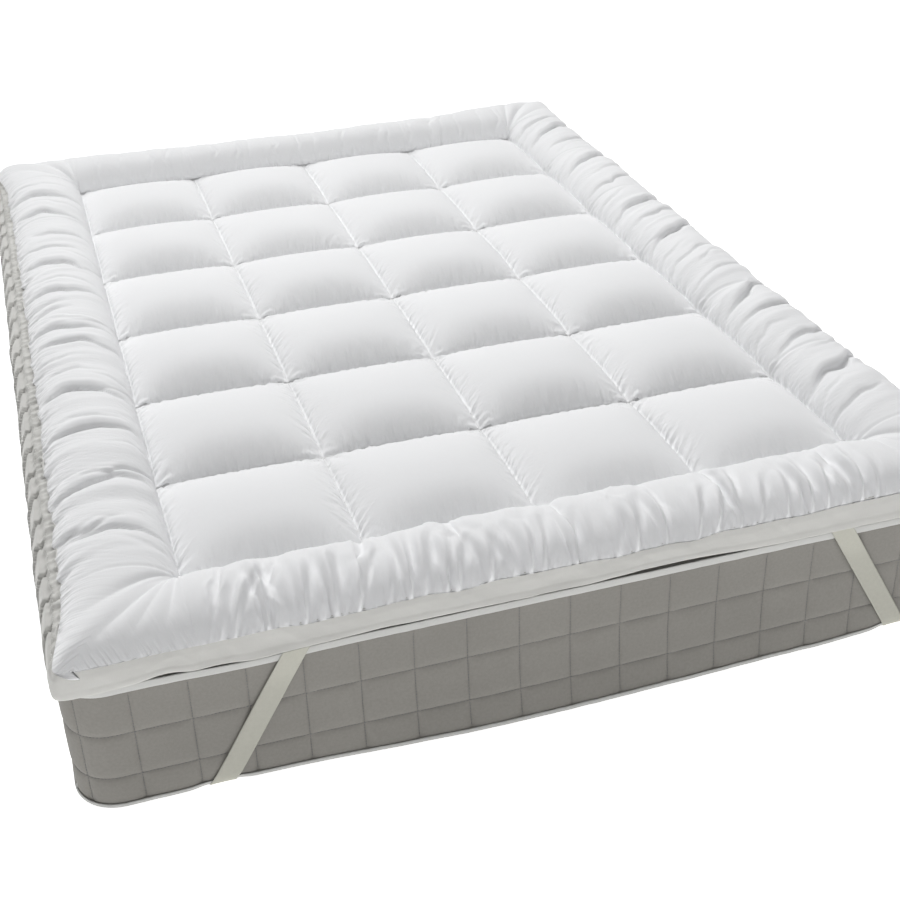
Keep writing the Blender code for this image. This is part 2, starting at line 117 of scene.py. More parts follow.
# ---- Quilted top -------------------------------------------------------------------------------
# The top panel is one sheet of bleached cotton over loose fibre filling. Quilting seams hold it
# down in squares, and there is more cloth than the seams are long, so it puckers beside them.
COLUMNS, ROWS = 4, 6
COLUMN_PITCH, ROW_PITCH = 0.264, 0.268
MATTRESS_WIDTH, MATTRESS_LENGTH, MATTRESS_HEIGHT = 1.372, 1.892, 0.2105
GRID_LEFT, GRID_FRONT = -0.500, -0.789
QUILT_SEAM_Z = MATTRESS_HEIGHT + 0.0215
CELL_CROWN = 0.041
# A square's section: how square its rise is at the near and far seam, and where it is highest
ACROSS = ((2.5, 0.80), (2.5, 0.80), 0.50)
ALONG = ((2.6, 0.80), (1.9, 0.95), 0.40)
SEAM_BITE, SEAM_BITE_WIDTH = 0.0022, 0.0035
CROWN_UNEVENNESS = 0.05
CROSSING_DIMPLE, CROSSING_RADIUS = 0.004, 0.030
BORDER_CROWN = 0.053
BAND_SEAM_Z = QUILT_SEAM_Z + 0.0145
BORDER_SHARE_OF_CELL = 0.75

# How far each side reaches out from the outermost quilting seam: to the mattress's wall, to the seam
# with the band and to the band's widest point. Then how far the gathers draw that seam in, at once
# and most at the middle, the share of it that the band follows, and how far the roll stands proud of
# the seam and wanders.
Side = namedtuple("Side", "wall seam splay tuck bow follows proud jagged")
LEFT = Side(wall=0.186, seam=0.187, splay=0.191, tuck=0.028,
            bow=0.004, follows=0.0, proud=-0.004, jagged=0.0018)
RIGHT = Side(wall=0.130, seam=0.156, splay=0.160, tuck=0.006,
             bow=0.008, follows=1.0, proud=0.006, jagged=0.0004)
FRONT = Side(wall=0.157, seam=0.156, splay=0.1595, tuck=0.000,
             bow=0.000, follows=1.0, proud=0.001, jagged=0.0003)
BACK = Side(wall=0.127, seam=0.156, splay=0.160, tuck=0.004,
            bow=0.040, follows=1.0, proud=0.005, jagged=0.0004)
BOW_POWER = 0.7
CORNER_SQUARENESS = 22

# Section of the border roll: out as a share of its width, and height as a share of its crown
ROLL_OUT = [0.00, 0.04, 0.12, 0.24, 0.38, 0.53, 0.67, 0.80, 0.90, 0.955]
ROLL_RISE = [0.00, 0.34, 0.61, 0.83, 0.95, 1.00, 0.97, 0.87, 0.70, 0.47]
ROLL_WIDEST = 0.80

# Folds of the border. Places along a side are in squares from its left or front end; lean is the
# drift from the inner to the outer seam and arch a bend on the way; depth and width in metres;
# skew makes the side towards the far end steeper; first and last are shares of the border's
# width, and peak the share of that length at which the fold is deepest.
Fold = namedtuple("Fold", "at lean arch depth width skew first last peak")


def folds(same, *rows):
    """Folds from rows of their numbers, and what is the same for all of them."""
    names = [name for name in Fold._fields if name not in same]
    return [Fold(**dict(zip(names, row)), **same) for row in rows]


FOLDS = {
    "left": folds(
        {},
        (0.27, 0.12, 0.036, 0.0073, 0.017, 0.6, 0, 0.97, 0.62),
        (0.5, -0.08, 0.018, 0.0046, 0.012, 0.5, 0.4, 1, 0.6),
        (0.87, -0.03, 0.054, 0.0079, 0.015, 0.8, 0, 1, 0.66),
        (1.02, -0.12, 0.03, 0.004, 0.012, 0.5, 0, 0.7, 0.5),
        (1.42, 0.1, 0.036, 0.0073, 0.016, 0.8, 0, 1, 0.66),
        (1.86, 0.2, 0.042, 0.0092, 0.018, 0.9, 0, 1, 0.68),
        (2.15, 0.16, 0.03, 0.0033, 0.012, 0.5, 0.3, 1, 0.6),
        (2.57, 0.15, 0.036, 0.0059, 0.016, 0.7, 0, 0.97, 0.62),
        (2.85, 0.14, 0.042, 0.0092, 0.017, 0.9, 0.1, 1, 0.66),
        (3.15, 0.1, 0.03, 0.004, 0.011, 0.5, 0.5, 1, 0.6),
        (3.45, 0.17, 0.036, 0.0079, 0.016, 0.8, 0, 1, 0.66),
        (3.9, 0.28, 0.036, 0.0066, 0.016, 0.7, 0, 1, 0.66),
        (4.28, 0.16, 0.03, 0.004, 0.013, 0.5, 0.2, 1, 0.62),
        (4.6, 0.12, 0.03, 0.0046, 0.014, 0.5, 0, 0.8, 0.55),
        (5, 0.2, 0.03, 0.0059, 0.015, 0.7, 0, 1, 0.62),
        (5.47, 0.14, 0.03, 0.0086, 0.017, 0.8, 0, 1, 0.62),
    ),
    "right": folds(
        {},
        (0.2, 0.25, 0, 0.004, 0.013, 0.6, 0, 0.7, 0.5),
        (0.52, 0.34, 0.02, 0.0088, 0.017, 0.9, 0, 1, 0.62),
        (0.98, 0.28, 0.02, 0.0064, 0.015, 0.7, 0.1, 1, 0.6),
        (1.43, 0.26, 0.02, 0.0048, 0.014, 0.7, 0.1, 1, 0.6),
        (1.63, 0.4, 0.02, 0.0096, 0.018, 0.9, 0, 1, 0.64),
        (2.1, 0.26, 0.02, 0.004, 0.013, 0.6, 0.1, 0.9, 0.55),
        (2.45, 0.34, 0.02, 0.004, 0.013, 0.6, 0, 0.8, 0.5),
        (2.84, 0.38, 0.02, 0.0096, 0.018, 0.9, 0, 1, 0.64),
        (3.2, 0.3, 0.02, 0.004, 0.013, 0.5, 0.2, 1, 0.6),
        (3.5, 0.3, 0.02, 0.0088, 0.017, 0.9, 0, 1, 0.64),
        (4.05, 0.28, 0.02, 0.0048, 0.014, 0.6, 0.1, 0.9, 0.55),
        (4.5, 0.44, 0.02, 0.0088, 0.018, 0.9, 0, 1, 0.64),
        (5.1, 0.28, 0.02, 0.0048, 0.014, 0.6, 0.2, 0.9, 0.55),
        (5.38, 0.44, 0.02, 0.0096, 0.018, 0.9, 0, 1, 0.64),
        (5.75, 0.25, 0, 0.0048, 0.014, 0.6, 0, 0.8, 0.5),
    ),
    "front": folds(
        {"arch": 0},
        (0.24, -0.16, 0.006, 0.016, 0.2, 0.1, 1, 0.5), (0.52, -0.12, 0.004, 0.014, 0.2, 0.1, 1, 0.5),
        (1, -0.17, 0.007, 0.013, 0.4, 0, 0.9, 0.35), (1.42, 0.04, 0.007, 0.014, 0.2, 0, 0.9, 0.4),
        (2.03, -0.03, 0.006, 0.014, 0.3, 0, 1, 0.4), (2.52, 0.08, 0.004, 0.014, 0.3, 0, 0.8, 0.4),
        (2.92, 0, 0.008, 0.014, 0.4, 0, 1, 0.45), (3.64, -0.02, 0.007, 0.016, 0.3, 0, 1, 0.45),
    ),
    "back": folds(
        {"arch": 0, "first": 0},
        (0.37, 0.02, 0.003, 0.014, 0.3, 0.8, 0.35), (0.96, 0, 0.002, 0.013, 0.3, 0.7, 0.3),
        (1.55, 0.04, 0.003, 0.014, 0.3, 0.8, 0.35), (2.12, 0.05, 0.0035, 0.014, 0.3, 0.9, 0.35),
        (2.72, 0.08, 0.0025, 0.014, 0.3, 0.8, 0.35), (3.22, 0.18, 0.005, 0.016, 0.4, 0.9, 0.4),
        (3.75, 0.1, 0.003, 0.014, 0.3, 0.8, 0.35),
    ),
}
# Narrow creases, and ridges where the depth is negative
FINE_FOLDS = {
    "front": folds(
        {"arch": 0, "skew": 0},
        (0.2, -0.16, -0.004, 0.0055, 0.15, 1, 0.6), (0.26, -0.15, -0.0034, 0.005, 0.25, 0.97, 0.6),
        (0.35, -0.03, -0.005, 0.0055, 0.3, 1, 0.7), (0.43, -0.05, 0.003, 0.009, 0.15, 0.9, 0.5),
        (0.5, -0.1, -0.005, 0.006, 0.15, 1, 0.65), (0.75, -0.06, -0.0018, 0.008, 0.2, 0.9, 0.5),
        (0.95, -0.14, -0.0032, 0.006, 0.05, 0.95, 0.45), (1.05, -0.17, -0.003, 0.0055, 0.05, 0.9, 0.45),
        (1.36, 0.06, -0.0035, 0.006, 0.05, 0.9, 0.45), (1.48, -0.03, -0.0035, 0.006, 0.05, 0.9, 0.45),
        (1.75, -0.05, -0.0016, 0.008, 0.3, 0.9, 0.5), (2, -0.02, -0.0032, 0.0055, 0.05, 0.9, 0.4),
        (2.14, 0.36, -0.0014, 0.005, 0.1, 0.8, 0.5), (2.44, -0.3, -0.0014, 0.005, 0.1, 0.8, 0.5),
        (2.9, 0, -0.0055, 0.006, 0.05, 1, 0.5), (2.98, -0.02, -0.004, 0.005, 0.1, 0.95, 0.5),
        (3.3, -0.03, -0.0016, 0.008, 0.2, 0.9, 0.5), (3.61, -0.03, -0.0045, 0.006, 0.05, 1, 0.5),
        (3.74, -0.05, -0.004, 0.0055, 0.1, 1, 0.5),
    ),
    "left": folds(
        {"width": 0.006, "skew": 0.3},
        (0.12, 0.16, 0.05, 0.002, 0, 0.6, 0.4), (0.42, 0.02, 0.05, 0.0028, 0.45, 1, 0.6),
        (0.92, 0.02, 0.08, -0.0022, 0.1, 0.8, 0.5), (1.22, 0.05, 0.06, 0.0022, 0, 0.5, 0.4),
        (1.52, 0.12, 0.06, 0.003, 0.2, 0.8, 0.5), (2.05, 0.18, 0.06, 0.002, 0, 0.5, 0.4),
        (2.34, 0.14, 0.06, 0.0026, 0.4, 1, 0.6), (2.95, 0.14, 0.06, -0.0026, 0.1, 0.8, 0.5),
        (3.22, 0.14, 0.05, 0.0028, 0.5, 1, 0.6), (3.62, 0.18, 0.06, 0.003, 0.2, 0.9, 0.5),
        (4.12, 0.2, 0.05, 0.002, 0, 0.5, 0.4), (4.93, 0.16, 0.05, 0.0026, 0.5, 1, 0.6),
        (5.22, 0.16, 0.05, 0.0022, 0.1, 0.8, 0.5), (5.67, 0.16, 0.05, 0.003, 0.2, 1, 0.5),
    ),
    "right": folds(
        {"arch": 0, "width": 0.006, "skew": 0.3},
        (0.38, 0.3, 0.0022, 0, 0.6, 0.4), (0.75, 0.36, 0.0024, 0.3, 1, 0.6),
        (1.2, 0.3, 0.0022, 0, 0.6, 0.4), (1.75, 0.38, -0.002, 0.1, 0.8, 0.5),
        (2.28, 0.34, 0.0026, 0.3, 1, 0.6), (2.62, 0.34, 0.0022, 0, 0.6, 0.4),
        (3.05, 0.36, -0.0022, 0.1, 0.8, 0.5), (3.33, 0.32, 0.0024, 0.3, 1, 0.6),
        (3.78, 0.32, 0.0024, 0, 0.7, 0.4), (4.25, 0.34, 0.0026, 0.2, 1, 0.6),
        (4.72, 0.4, -0.0022, 0.1, 0.8, 0.5), (4.95, 0.36, 0.0024, 0.2, 1, 0.6),
        (5.6, 0.3, 0.0022, 0, 0.8, 0.5),
    ),
    "back": [
        Fold(place, 0.06, 0.0, 0.0024, 0.0055, 0.2, 0.0, 0.8, 0.35)
        for place in (0.15, 0.62, 0.80, 1.20, 1.40, 1.78, 1.98, 2.40, 2.84, 3.02, 3.38, 3.52, 3.92)
    ],
}
# Folds that fan out over a corner: side signs, angle from the cross-bed way in degrees, spread in
# degrees, and depth
CornerFold = namedtuple("CornerFold", "east north angle spread depth")
CORNER_FOLDS = [
    CornerFold(-1, -1, 24, 7, 0.0060), CornerFold(-1, -1, 43, 6, 0.0075), CornerFold(-1, -1, 57, 5, 0.0050),
    CornerFold(-1, -1, 72, 6, 0.0060), CornerFold(1, -1, 30, 8, 0.0060), CornerFold(1, -1, 52, 6, 0.0070),
    CornerFold(1, -1, 76, 6, 0.0045), CornerFold(1, 1, 22, 7, 0.0060), CornerFold(1, 1, 46, 7, 0.0080),
    CornerFold(1, 1, 68, 6, 0.0055), CornerFold(-1, 1, 26, 7, 0.0055), CornerFold(-1, 1, 50, 7, 0.0070),
    CornerFold(-1, 1, 73, 6, 0.0045),
]


def panel_places(steps):
    """Column, row, share out over the border in x and y, and side signs of each point of a grid
    with that many steps to a square."""
    border = round(steps * BORDER_SHARE_OF_CELL)
    column = (np.arange(COLUMNS * steps + 2 * border + 1) - border) / steps
    row = (np.arange(ROWS * steps + 2 * border + 1) - border) / steps
    column, row = np.meshgrid(column, row, indexing="ij")
    out_x = np.clip(np.maximum(-column, column - COLUMNS) / BORDER_SHARE_OF_CELL, 0, 1)
    out_y = np.clip(np.maximum(-row, row - ROWS) / BORDER_SHARE_OF_CELL, 0, 1)
    east = np.where(column > COLUMNS, 1, np.where(column < 0, -1, 0))
    north = np.where(row > ROWS, 1, np.where(row < 0, -1, 0))
    return column, row, out_x, out_y, east, north


def wander(place, seed, octaves=3):
    """Smooth noise along a line, about 1 high, with a seed of its own."""
    draws = np.random.default_rng(seed)
    total = 0
    for octave in range(octaves):
        at = place * 2**octave
        step = np.floor(at).astype(int)
        part = at - step
        part = part * part * (3 - 2 * part)
        values = draws.normal(size=4096)
        total = total + (values[step % 4096] * (1 - part) + values[(step + 1) % 4096] * part) / 2**octave
    return total


def drawn_in(side, angle, along, squares, at_corner):
    """How far the gathers draw a side's seam in."""
    bow = side.bow * np.maximum(np.sin(np.pi * np.clip(along / squares, 0, 1)), 0) ** BOW_POWER
    from_end = np.clip(np.minimum(along, squares - along) * 6, 0, 1)
    bow = bow + side.jagged * wander(along * 16, 77, 1) * from_end
    return side.tuck * np.abs(np.cos(2 * angle)) + np.where(at_corner, 0, bow)


def smooth(share):
    share = np.clip(share, 0, 1)
    return share * share * (3 - 2 * share)


SEAM_WAVE, SEAM_RISE = 0.0024, 0.0065


def seam_lift(x, y):
    """How far the seam between top and band rises and falls on its way round the pad; at the foot
    it also climbs towards the right."""
    wave = SEAM_WAVE * wander(np.arctan2(y, 1.4 * x) * 9 + 40, 78, 2)
    climb = SEAM_RISE * smooth((x + 0.15) / 0.5) * smooth((-y - 0.80) / 0.1)
    return (wave + climb) * smooth((x + 0.62) / 0.1)


def reach_out(angle, wide, deep):
    """Distance to an outline that lies wide out in x and deep out in y, with squared corners."""
    power = CORNER_SQUARENESS
    with np.errstate(divide="ignore"):
        return ((np.cos(angle) / wide) ** power + (np.sin(angle) / deep) ** power) ** (-1 / power)


def roll_section(share):
    """The roll's section at shares of its length: out as a share of its width, and height."""
    line = [(out, rise * BORDER_CROWN) for out, rise in zip(ROLL_OUT, ROLL_RISE)]
    line = np.array(line + [(1.0, BAND_SEAM_Z - QUILT_SEAM_Z)])
    for _ in range(2):
        quarter, three_quarters = line[:-1] * 0.75 + line[1:] * 0.25, line[:-1] * 0.25 + line[1:] * 0.75
        cut = np.stack([quarter, three_quarters], 1).reshape(-1, 2)
        line = np.concatenate([line[:1], cut, line[-1:]])
    steps = np.hypot(np.diff(line[:, 0]) * FRONT.seam, np.diff(line[:, 1]))
    length = np.concatenate([[0], np.cumsum(steps)])
    at = share * length[-1]
    return np.interp(at, length, line[:, 0]), np.interp(at, length, line[:, 1])


FOLD_WOBBLE = 0.016


def fold_depth(fold, along, share, pitch):
    """How deep one fold lies at places along a side and shares of the border's width."""
    middle = fold.at + fold.lean * share + fold.arch * np.sin(np.pi * share)
    middle = middle + FOLD_WOBBLE * wander(share * 5 + 31 * fold.at, 90, 2)
    off = (along - middle) * pitch / fold.width
    off = off * np.where(off > 0, 1 + fold.skew, 1 / (1 + fold.skew))
    trough = np.exp(-np.abs(off * 1.2) ** 1.2) - 0.2 * np.exp(-((np.abs(off) - 1.7) ** 2) * 1.4)
    within = np.clip((share - fold.first) / (fold.last - fold.first), 0, 1)
    within = within ** (math.log(0.5) / math.log(fold.peak))
    swell = 0.08 + 0.92 * np.sin(np.pi * within) ** 0.8
    shown = (share >= fold.first) & (share <= fold.last)
    return np.where(shown, fold.depth * trough * swell, 0)


def grid_normals(points):
    across, along = np.empty_like(points), np.empty_like(points)
    across[1:-1] = points[2:] - points[:-2]
    across[0], across[-1] = points[1] - points[0], points[-1] - points[-2]
    along[:, 1:-1] = points[:, 2:] - points[:, :-2]
    along[:, 0], along[:, -1] = points[:, 1] - points[:, 0], points[:, -1] - points[:, -2]
    normal = np.cross(across, along)
    return normal / np.maximum(np.linalg.norm(normal, axis=-1, keepdims=True), 1e-9)


def side_masks(out_x, out_y, east, north):
    return {
        "left": (out_x > 0) & (out_y == 0) & (east < 0),
        "right": (out_x > 0) & (out_y == 0) & (east > 0),
        "front": (out_y > 0) & (out_x == 0) & (north < 0),
        "back": (out_y > 0) & (out_x == 0) & (north > 0),
    }


def filled_shape(steps):
    """The shape that the filling holds the panel to: squares, border roll and main folds."""
    column, row, out_x, out_y, east, north = panel_places(steps)
    inner_column, inner_row = np.clip(column, 0, COLUMNS), np.clip(row, 0, ROWS)
    share = np.maximum(out_x, out_y)
    on_border = share > 0

    def pillow(place, near, far, peak):
        off = place % 1 - peak
        near_side = (1 - np.abs(np.clip(off / peak, -1, 0)) ** near[0]) ** near[1]
        far_side = (1 - np.clip(off / (1 - peak), 0, 1) ** far[0]) ** far[1]
        return np.where(off < 0, near_side, far_side)

    square_i = np.minimum(np.floor(inner_column), COLUMNS - 1)
    square_j = np.minimum(np.floor(inner_row), ROWS - 1)
    filling = 1 + CROWN_UNEVENNESS * np.sin(2.1 * square_i + 3.7 * square_j)
    rise = CELL_CROWN * filling * pillow(inner_column, *ACROSS) * pillow(inner_row, *ALONG)
    to_crossing = np.hypot(
        (inner_column - np.rint(inner_column)) * COLUMN_PITCH, (inner_row - np.rint(inner_row)) * ROW_PITCH
    )
    dimple = CROSSING_DIMPLE * np.exp(-((to_crossing / CROSSING_RADIUS) ** 2))
    height = QUILT_SEAM_Z + np.where(on_border, 0, rise) - dimple * (1 - share)
    angle = np.arctan2(out_y, out_x)
    at_corner = (out_x > 0) & (out_y > 0)

    def widths(extra):
        sides = []
        for positive, here, there, along, squares in (
            (east > 0, RIGHT, LEFT, inner_row, ROWS),
            (north > 0, BACK, FRONT, inner_column, COLUMNS),
        ):
            drawn = [side.seam + extra * side.proud - drawn_in(side, angle, along, squares, at_corner)
                     for side in (here, there)]
            sides.append(np.where(positive, *drawn))
        return reach_out(angle, *sides)

    seam, bulge = widths(0), widths(1)
    out, roll = roll_section(share)
    to_seam = np.clip((share - ROLL_WIDEST) / (1 - ROLL_WIDEST), 0, 1)
    out = out * (bulge * (1 - to_seam) + seam / 0.985 * to_seam)
    points = np.stack([
        GRID_LEFT + inner_column * COLUMN_PITCH + east * out * np.cos(angle),
        GRID_FRONT + inner_row * ROW_PITCH + north * out * np.sin(angle),
        height + np.where(on_border, roll, 0),
    ], -1)
    points[..., 2] += seam_lift(points[..., 0], points[..., 1]) * smooth((share - 0.4) / 0.6)
    depth = np.zeros_like(share)
    for name, mask in side_masks(out_x, out_y, east, north).items():
        along, pitch = (inner_row, ROW_PITCH) if name in ("left", "right") else (inner_column, COLUMN_PITCH)
        for fold in FOLDS[name]:
            depth += np.where(mask, fold_depth(fold, along, share, pitch), 0)
    for fold in CORNER_FOLDS:
        here = (out_x > 0) & (out_y > 0) & (east == fold.east) & (north == fold.north)
        off = (np.degrees(angle) - fold.angle - 6 * np.sin(3 * share)) / fold.spread
        depth += np.where(here, fold.depth * np.exp(-np.abs(off) ** 1.5) * np.sin(np.pi * share), 0)
    depth *= np.sin(np.pi * np.clip(share, 0, 1)) ** 0.5
    to_seam = np.minimum(
        np.abs(column - np.clip(np.rint(column), 0, COLUMNS)) * COLUMN_PITCH,
        np.abs(row - np.clip(np.rint(row), 0, ROWS)) * ROW_PITCH,
    )
    depth += SEAM_BITE * np.exp(-((to_seam / SEAM_BITE_WIDTH) ** 2)) * (1 - share)
    return points - grid_normals(points) * depth[..., None]


# Puckers beside a seam: how far apart they start, how long they are, their height and width, and
# how far they lean along the seam as they leave it
Puckers = namedtuple("Puckers", "apart shortest longest height width lean")
LENGTHWISE = Puckers(0.0165, 0.016, 0.048, 0.0021, 0.0040, 0.75)
CROSSWISE = Puckers(0.0140, 0.016, 0.060, 0.0017, 0.0040, 0.10)
AT_BAND = Puckers(0.0200, 0.012, 0.035, 0.0009, 0.0042, 0.25)
AT_LEFT_BAND = Puckers(0.0150, 0.014, 0.050, 0.0022, 0.0042, -0.45)
PUCKER_STRIP = 0.055
CLEAR_CORNER, BARE_CORNER = 0.4, 0.1
DRAPES, DRAPES_CLEAR_CORNER = Puckers(0.0310, 0.085, 0.150, 0.0078, 0.0028, 0.10), 0.09


def pucker_strip(heights, spacing_off, spacing_along, kind, draws):
    """Adds one row of puckers to heights, whose first index runs away from the seam and whose
    second runs along it."""
    deep, long = heights.shape
    place = draws.uniform(0, kind.apart)
    while place < long * spacing_along:
        length = kind.shortest + (kind.longest - kind.shortest) * draws.beta(1.3, 2.6)
        height = kind.height * draws.uniform(0.35, 1.15)
        width = kind.width * draws.uniform(0.8, 1.35)
        lean = kind.lean * draws.uniform(0.55, 1.45) + draws.normal(0, 0.10)
        curl = draws.normal(0, 0.25)
        rows = min(deep, int(length / spacing_off) + 1)
        off = np.arange(rows) * spacing_off
        middle = place + lean * off + curl * off**2 / length
        wide = width * (1 + 1.1 * off / length)
        first = max(int((min(middle.min(), place) - 4 * wide.max()) / spacing_along), 0)
        last = min(int((max(middle.max(), place) + 4 * wide.max()) / spacing_along) + 2, long)
        if last > first:
            along = np.arange(first, last) * spacing_along
            across = (along[None] - middle[:, None]) / wide[:, None]
            crease = 0.55 * np.exp(-((np.abs(across) - 1.7) ** 2) * 1.2) - np.exp(-across**2)
            fade = (1 - off / length) ** 1.1 * np.clip(off / 0.002, 0.25, 1)
            heights[:rows, first:last] += height * fade[:, None] * crease
        place += kind.apart * draws.uniform(0.55, 1.6)


def hang_drapes(heights, spacing_off, spacing_along, draws):
    """Adds the front roll's ridges: wide on the crown, each tapering to a point at the band."""
    reach = heights.shape[1] * spacing_along
    from_corner = np.arange(heights.shape[1]) * spacing_along
    clear_of_corner = smooth(np.minimum(from_corner / DRAPES_CLEAR_CORNER, 1))
    clear_of_corner = clear_of_corner * clear_of_corner[::-1]
    off = np.arange(int(DRAPES.longest / spacing_off) + 1)[:, None] * spacing_off
    along = np.arange(heights.shape[1])[None] * spacing_along
    place = DRAPES.apart
    while place < reach - DRAPES.apart:
        length = draws.uniform(DRAPES.shortest, DRAPES.longest)
        height = DRAPES.height * draws.uniform(0.3, 1.25) * clear_of_corner
        rise = np.clip(off / length, 0, 1)
        middle = place + draws.normal(DRAPES.lean, 0.08) * off + draws.normal(0, 0.09) * off**2 / length
        across = (along - middle) / (DRAPES.width * draws.uniform(0.8, 1.3) * (1 + 3.2 * rise))
        ridge = np.exp(-across**2) - 0.55 * np.exp(-((np.abs(across) - 1.7) ** 2) * 1.2)
        heights[:len(off)] += height * np.sin(np.pi * rise**0.75) ** 0.8 * ridge
        place += DRAPES.apart * draws.uniform(0.5, 1.6)


def seam_puckers(steps):
    """Heights of the puckers beside every seam of the panel."""
    border = round(steps * BORDER_SHARE_OF_CELL)
    last_i, last_j = COLUMNS * steps + 2 * border, ROWS * steps + 2 * border
    heights = np.zeros((last_i + 1, last_j + 1))
    deep = int(PUCKER_STRIP / COLUMN_PITCH * steps)
    across, along = COLUMN_PITCH / steps, ROW_PITCH / steps
    draws = np.random.default_rng(41)
    inside_i, inside_j = slice(border, last_i - border + 1), slice(border, last_j - border + 1)
    for seam in range(COLUMNS + 1):
        i = border + seam * steps
        for strip in (heights[i:i + deep, inside_j], heights[i - deep:i + 1, inside_j][::-1]):
            pucker_strip(strip, across, along, LENGTHWISE, draws)
    for seam in range(ROWS + 1):
        j = border + seam * steps
        for strip in (heights[inside_i, j:j + deep].T, heights[inside_i, j - deep:j + 1][:, ::-1].T):
            pucker_strip(strip, along, across, CROSSWISE, draws)
    edges = (
        (heights[:deep], AT_LEFT_BAND), (heights[::-1][:deep], AT_BAND),
        (heights.T[:deep], AT_BAND), (heights.T[::-1][:deep], AT_BAND),
    )
    for strip, kind in edges:
        pucker_strip(strip, across, along, kind, draws)
    hang_drapes(heights[border:last_i - border].T, along, across, draws)
    # none at the very corners, as the rows of two sides would run into each other
    from_i, from_j = (
        np.minimum(np.arange(last + 1), last - np.arange(last + 1)) for last in (last_i, last_j)
    )
    from_corner = np.maximum(from_i[:, None], from_j[None]) / border
    return heights * smooth((from_corner - BARE_CORNER) / CLEAR_CORNER)


# The finest puckers are too small for the grid: each point keeps where it is along the nearest
# seam, how far off it, and how strongly it puckers, and the cotton's material draws them.
FinePuckers = namedtuple("FinePuckers", "strength reach lean")
FINE_LENGTHWISE = FinePuckers(1.3, 0.020, 0.80)
FINE_FRONT_SLOPE, FINE_BACK_SLOPE = FinePuckers(1.3, 0.030, 0.08), FinePuckers(0.5, 0.018, 0.08)
FINE_AT_BAND, FINE_AT_LEFT_BAND = FinePuckers(0.6, 0.022, 0.30), FinePuckers(1.2, 0.028, -0.45)


def fine_puckers(steps):
    column, row, out_x, out_y, east, north = panel_places(steps)
    share = np.maximum(out_x, out_y)
    x, y = column * COLUMN_PITCH, row * ROW_PITCH
    off_x = x - np.clip(np.rint(column), 0, COLUMNS) * COLUMN_PITCH
    off_y = y - np.clip(np.rint(row), 0, ROWS) * ROW_PITCH
    to_edge = (1 - share) * FRONT.seam
    side_place = np.where(out_x > out_y, y, x)
    options = (
        (out_y == 0, FINE_LENGTHWISE, np.abs(off_x), y),
        ((out_x == 0) & (off_y > 0), FINE_FRONT_SLOPE, off_y, x),
        ((out_x == 0) & (off_y <= 0), FINE_BACK_SLOPE, -off_y, x),
        ((share > 0) & (east >= 0), FINE_AT_BAND, to_edge, side_place),
        ((share > 0) & (east < 0), FINE_AT_LEFT_BAND, to_edge, side_place),
    )
    strengths = np.array([
        np.where(valid, kind.strength * np.exp(-off / kind.reach), 0) for valid, kind, off, place in options
    ])
    marks = np.array([np.stack([place - kind.lean * off, off], -1) for valid, kind, off, place in options])
    nearest = np.take_along_axis(marks, strengths.argmax(0)[None, ..., None], 0)[0]
    # none where two seams are about as near, as one row would run into the other
    second, first = np.sort(strengths, axis=0)[-2:]
    alone = np.clip(2 - 2.5 * second / np.maximum(first, 1e-9), 0, 1)
    return np.concatenate([nearest, (first * alone)[..., None]], -1)


# Low uneven ripples between the folds of the border: height, and lean over its width in squares
RIPPLES = {"left": (0.0014, 0.16), "right": (0.0014, 0.34), "front": (0.0011, -0.08), "back": (0.0006, 0.04)}
RIPPLE_LENGTH = 0.030
CREASE_SHARE, CREASE_WIDTH = 0.55, 0.0050

# Whiskers of a pinched crossing: small crescents either side of it
WHISKER_OUT, WHISKER_RISE, WHISKER_LONG, WHISKER_WIDE = 0.017, 0.0022, 0.011, 0.0038
PINCH_REACH, WHISKER_BEND, WHISKER_CREASE = 0.045, 0.016, 0.0055


def crossing_whiskers(steps):
    column, row, out_x, out_y, east, north = panel_places(steps)
    heights = np.zeros_like(column)
    draws = np.random.default_rng(43)
    for seam_i in range(COLUMNS + 1):
        for seam_j in range(ROWS + 1):
            x, y = (column - seam_i) * COLUMN_PITCH, (row - seam_j) * ROW_PITCH
            near = (np.abs(x) < PINCH_REACH) & (np.abs(y) < PINCH_REACH)
            for side_x in (-1, 1):
                for side_y in (-1, 1):
                    out, rise = WHISKER_OUT * draws.uniform(0.8, 1.3), WHISKER_RISE * draws.uniform(0.5, 1.2)
                    bow = 0.0055 + 0.004 * draws.uniform()
                    away = x * side_x
                    line = y * side_y - bow * (1 - ((away - out) / WHISKER_BEND) ** 2) - 0.001
                    crease = np.exp(-((line / WHISKER_WIDE) ** 2)) - 0.6 * np.exp(
                        -(((line - WHISKER_CREASE) / WHISKER_WIDE) ** 2))
                    heights += np.where(
                        near & (away > 0), rise * crease * np.exp(-(((away - out) / WHISKER_LONG) ** 2)), 0
                    )
    return heights


def fine_folds(steps):
    column, row, out_x, out_y, east, north = panel_places(steps)
    share = np.maximum(out_x, out_y)
    depth = np.zeros_like(share)
    for name, mask in side_masks(out_x, out_y, east, north).items():
        along, pitch = (row, ROW_PITCH) if name in ("left", "right") else (column, COLUMN_PITCH)
        creases = [fold._replace(depth=CREASE_SHARE * fold.depth, width=CREASE_WIDTH)
                   for fold in FOLDS[name] if name in ("left", "right")]
        for fold in FINE_FOLDS[name] + creases:
            depth += np.where(mask, fold_depth(fold, along, share, pitch), 0)
        height, lean = RIPPLES[name]
        ripple = wander((along - lean * share) * pitch / RIPPLE_LENGTH + 1.5 * share + 50, 61 + len(name), 2)
        squares = ROWS if name in ("left", "right") else COLUMNS
        within = np.clip(np.minimum(along, squares - along) * 6, 0, 1) * np.sin(np.pi * share) ** 0.7
        depth += np.where(mask, height * ripple * within, 0)
    return -depth


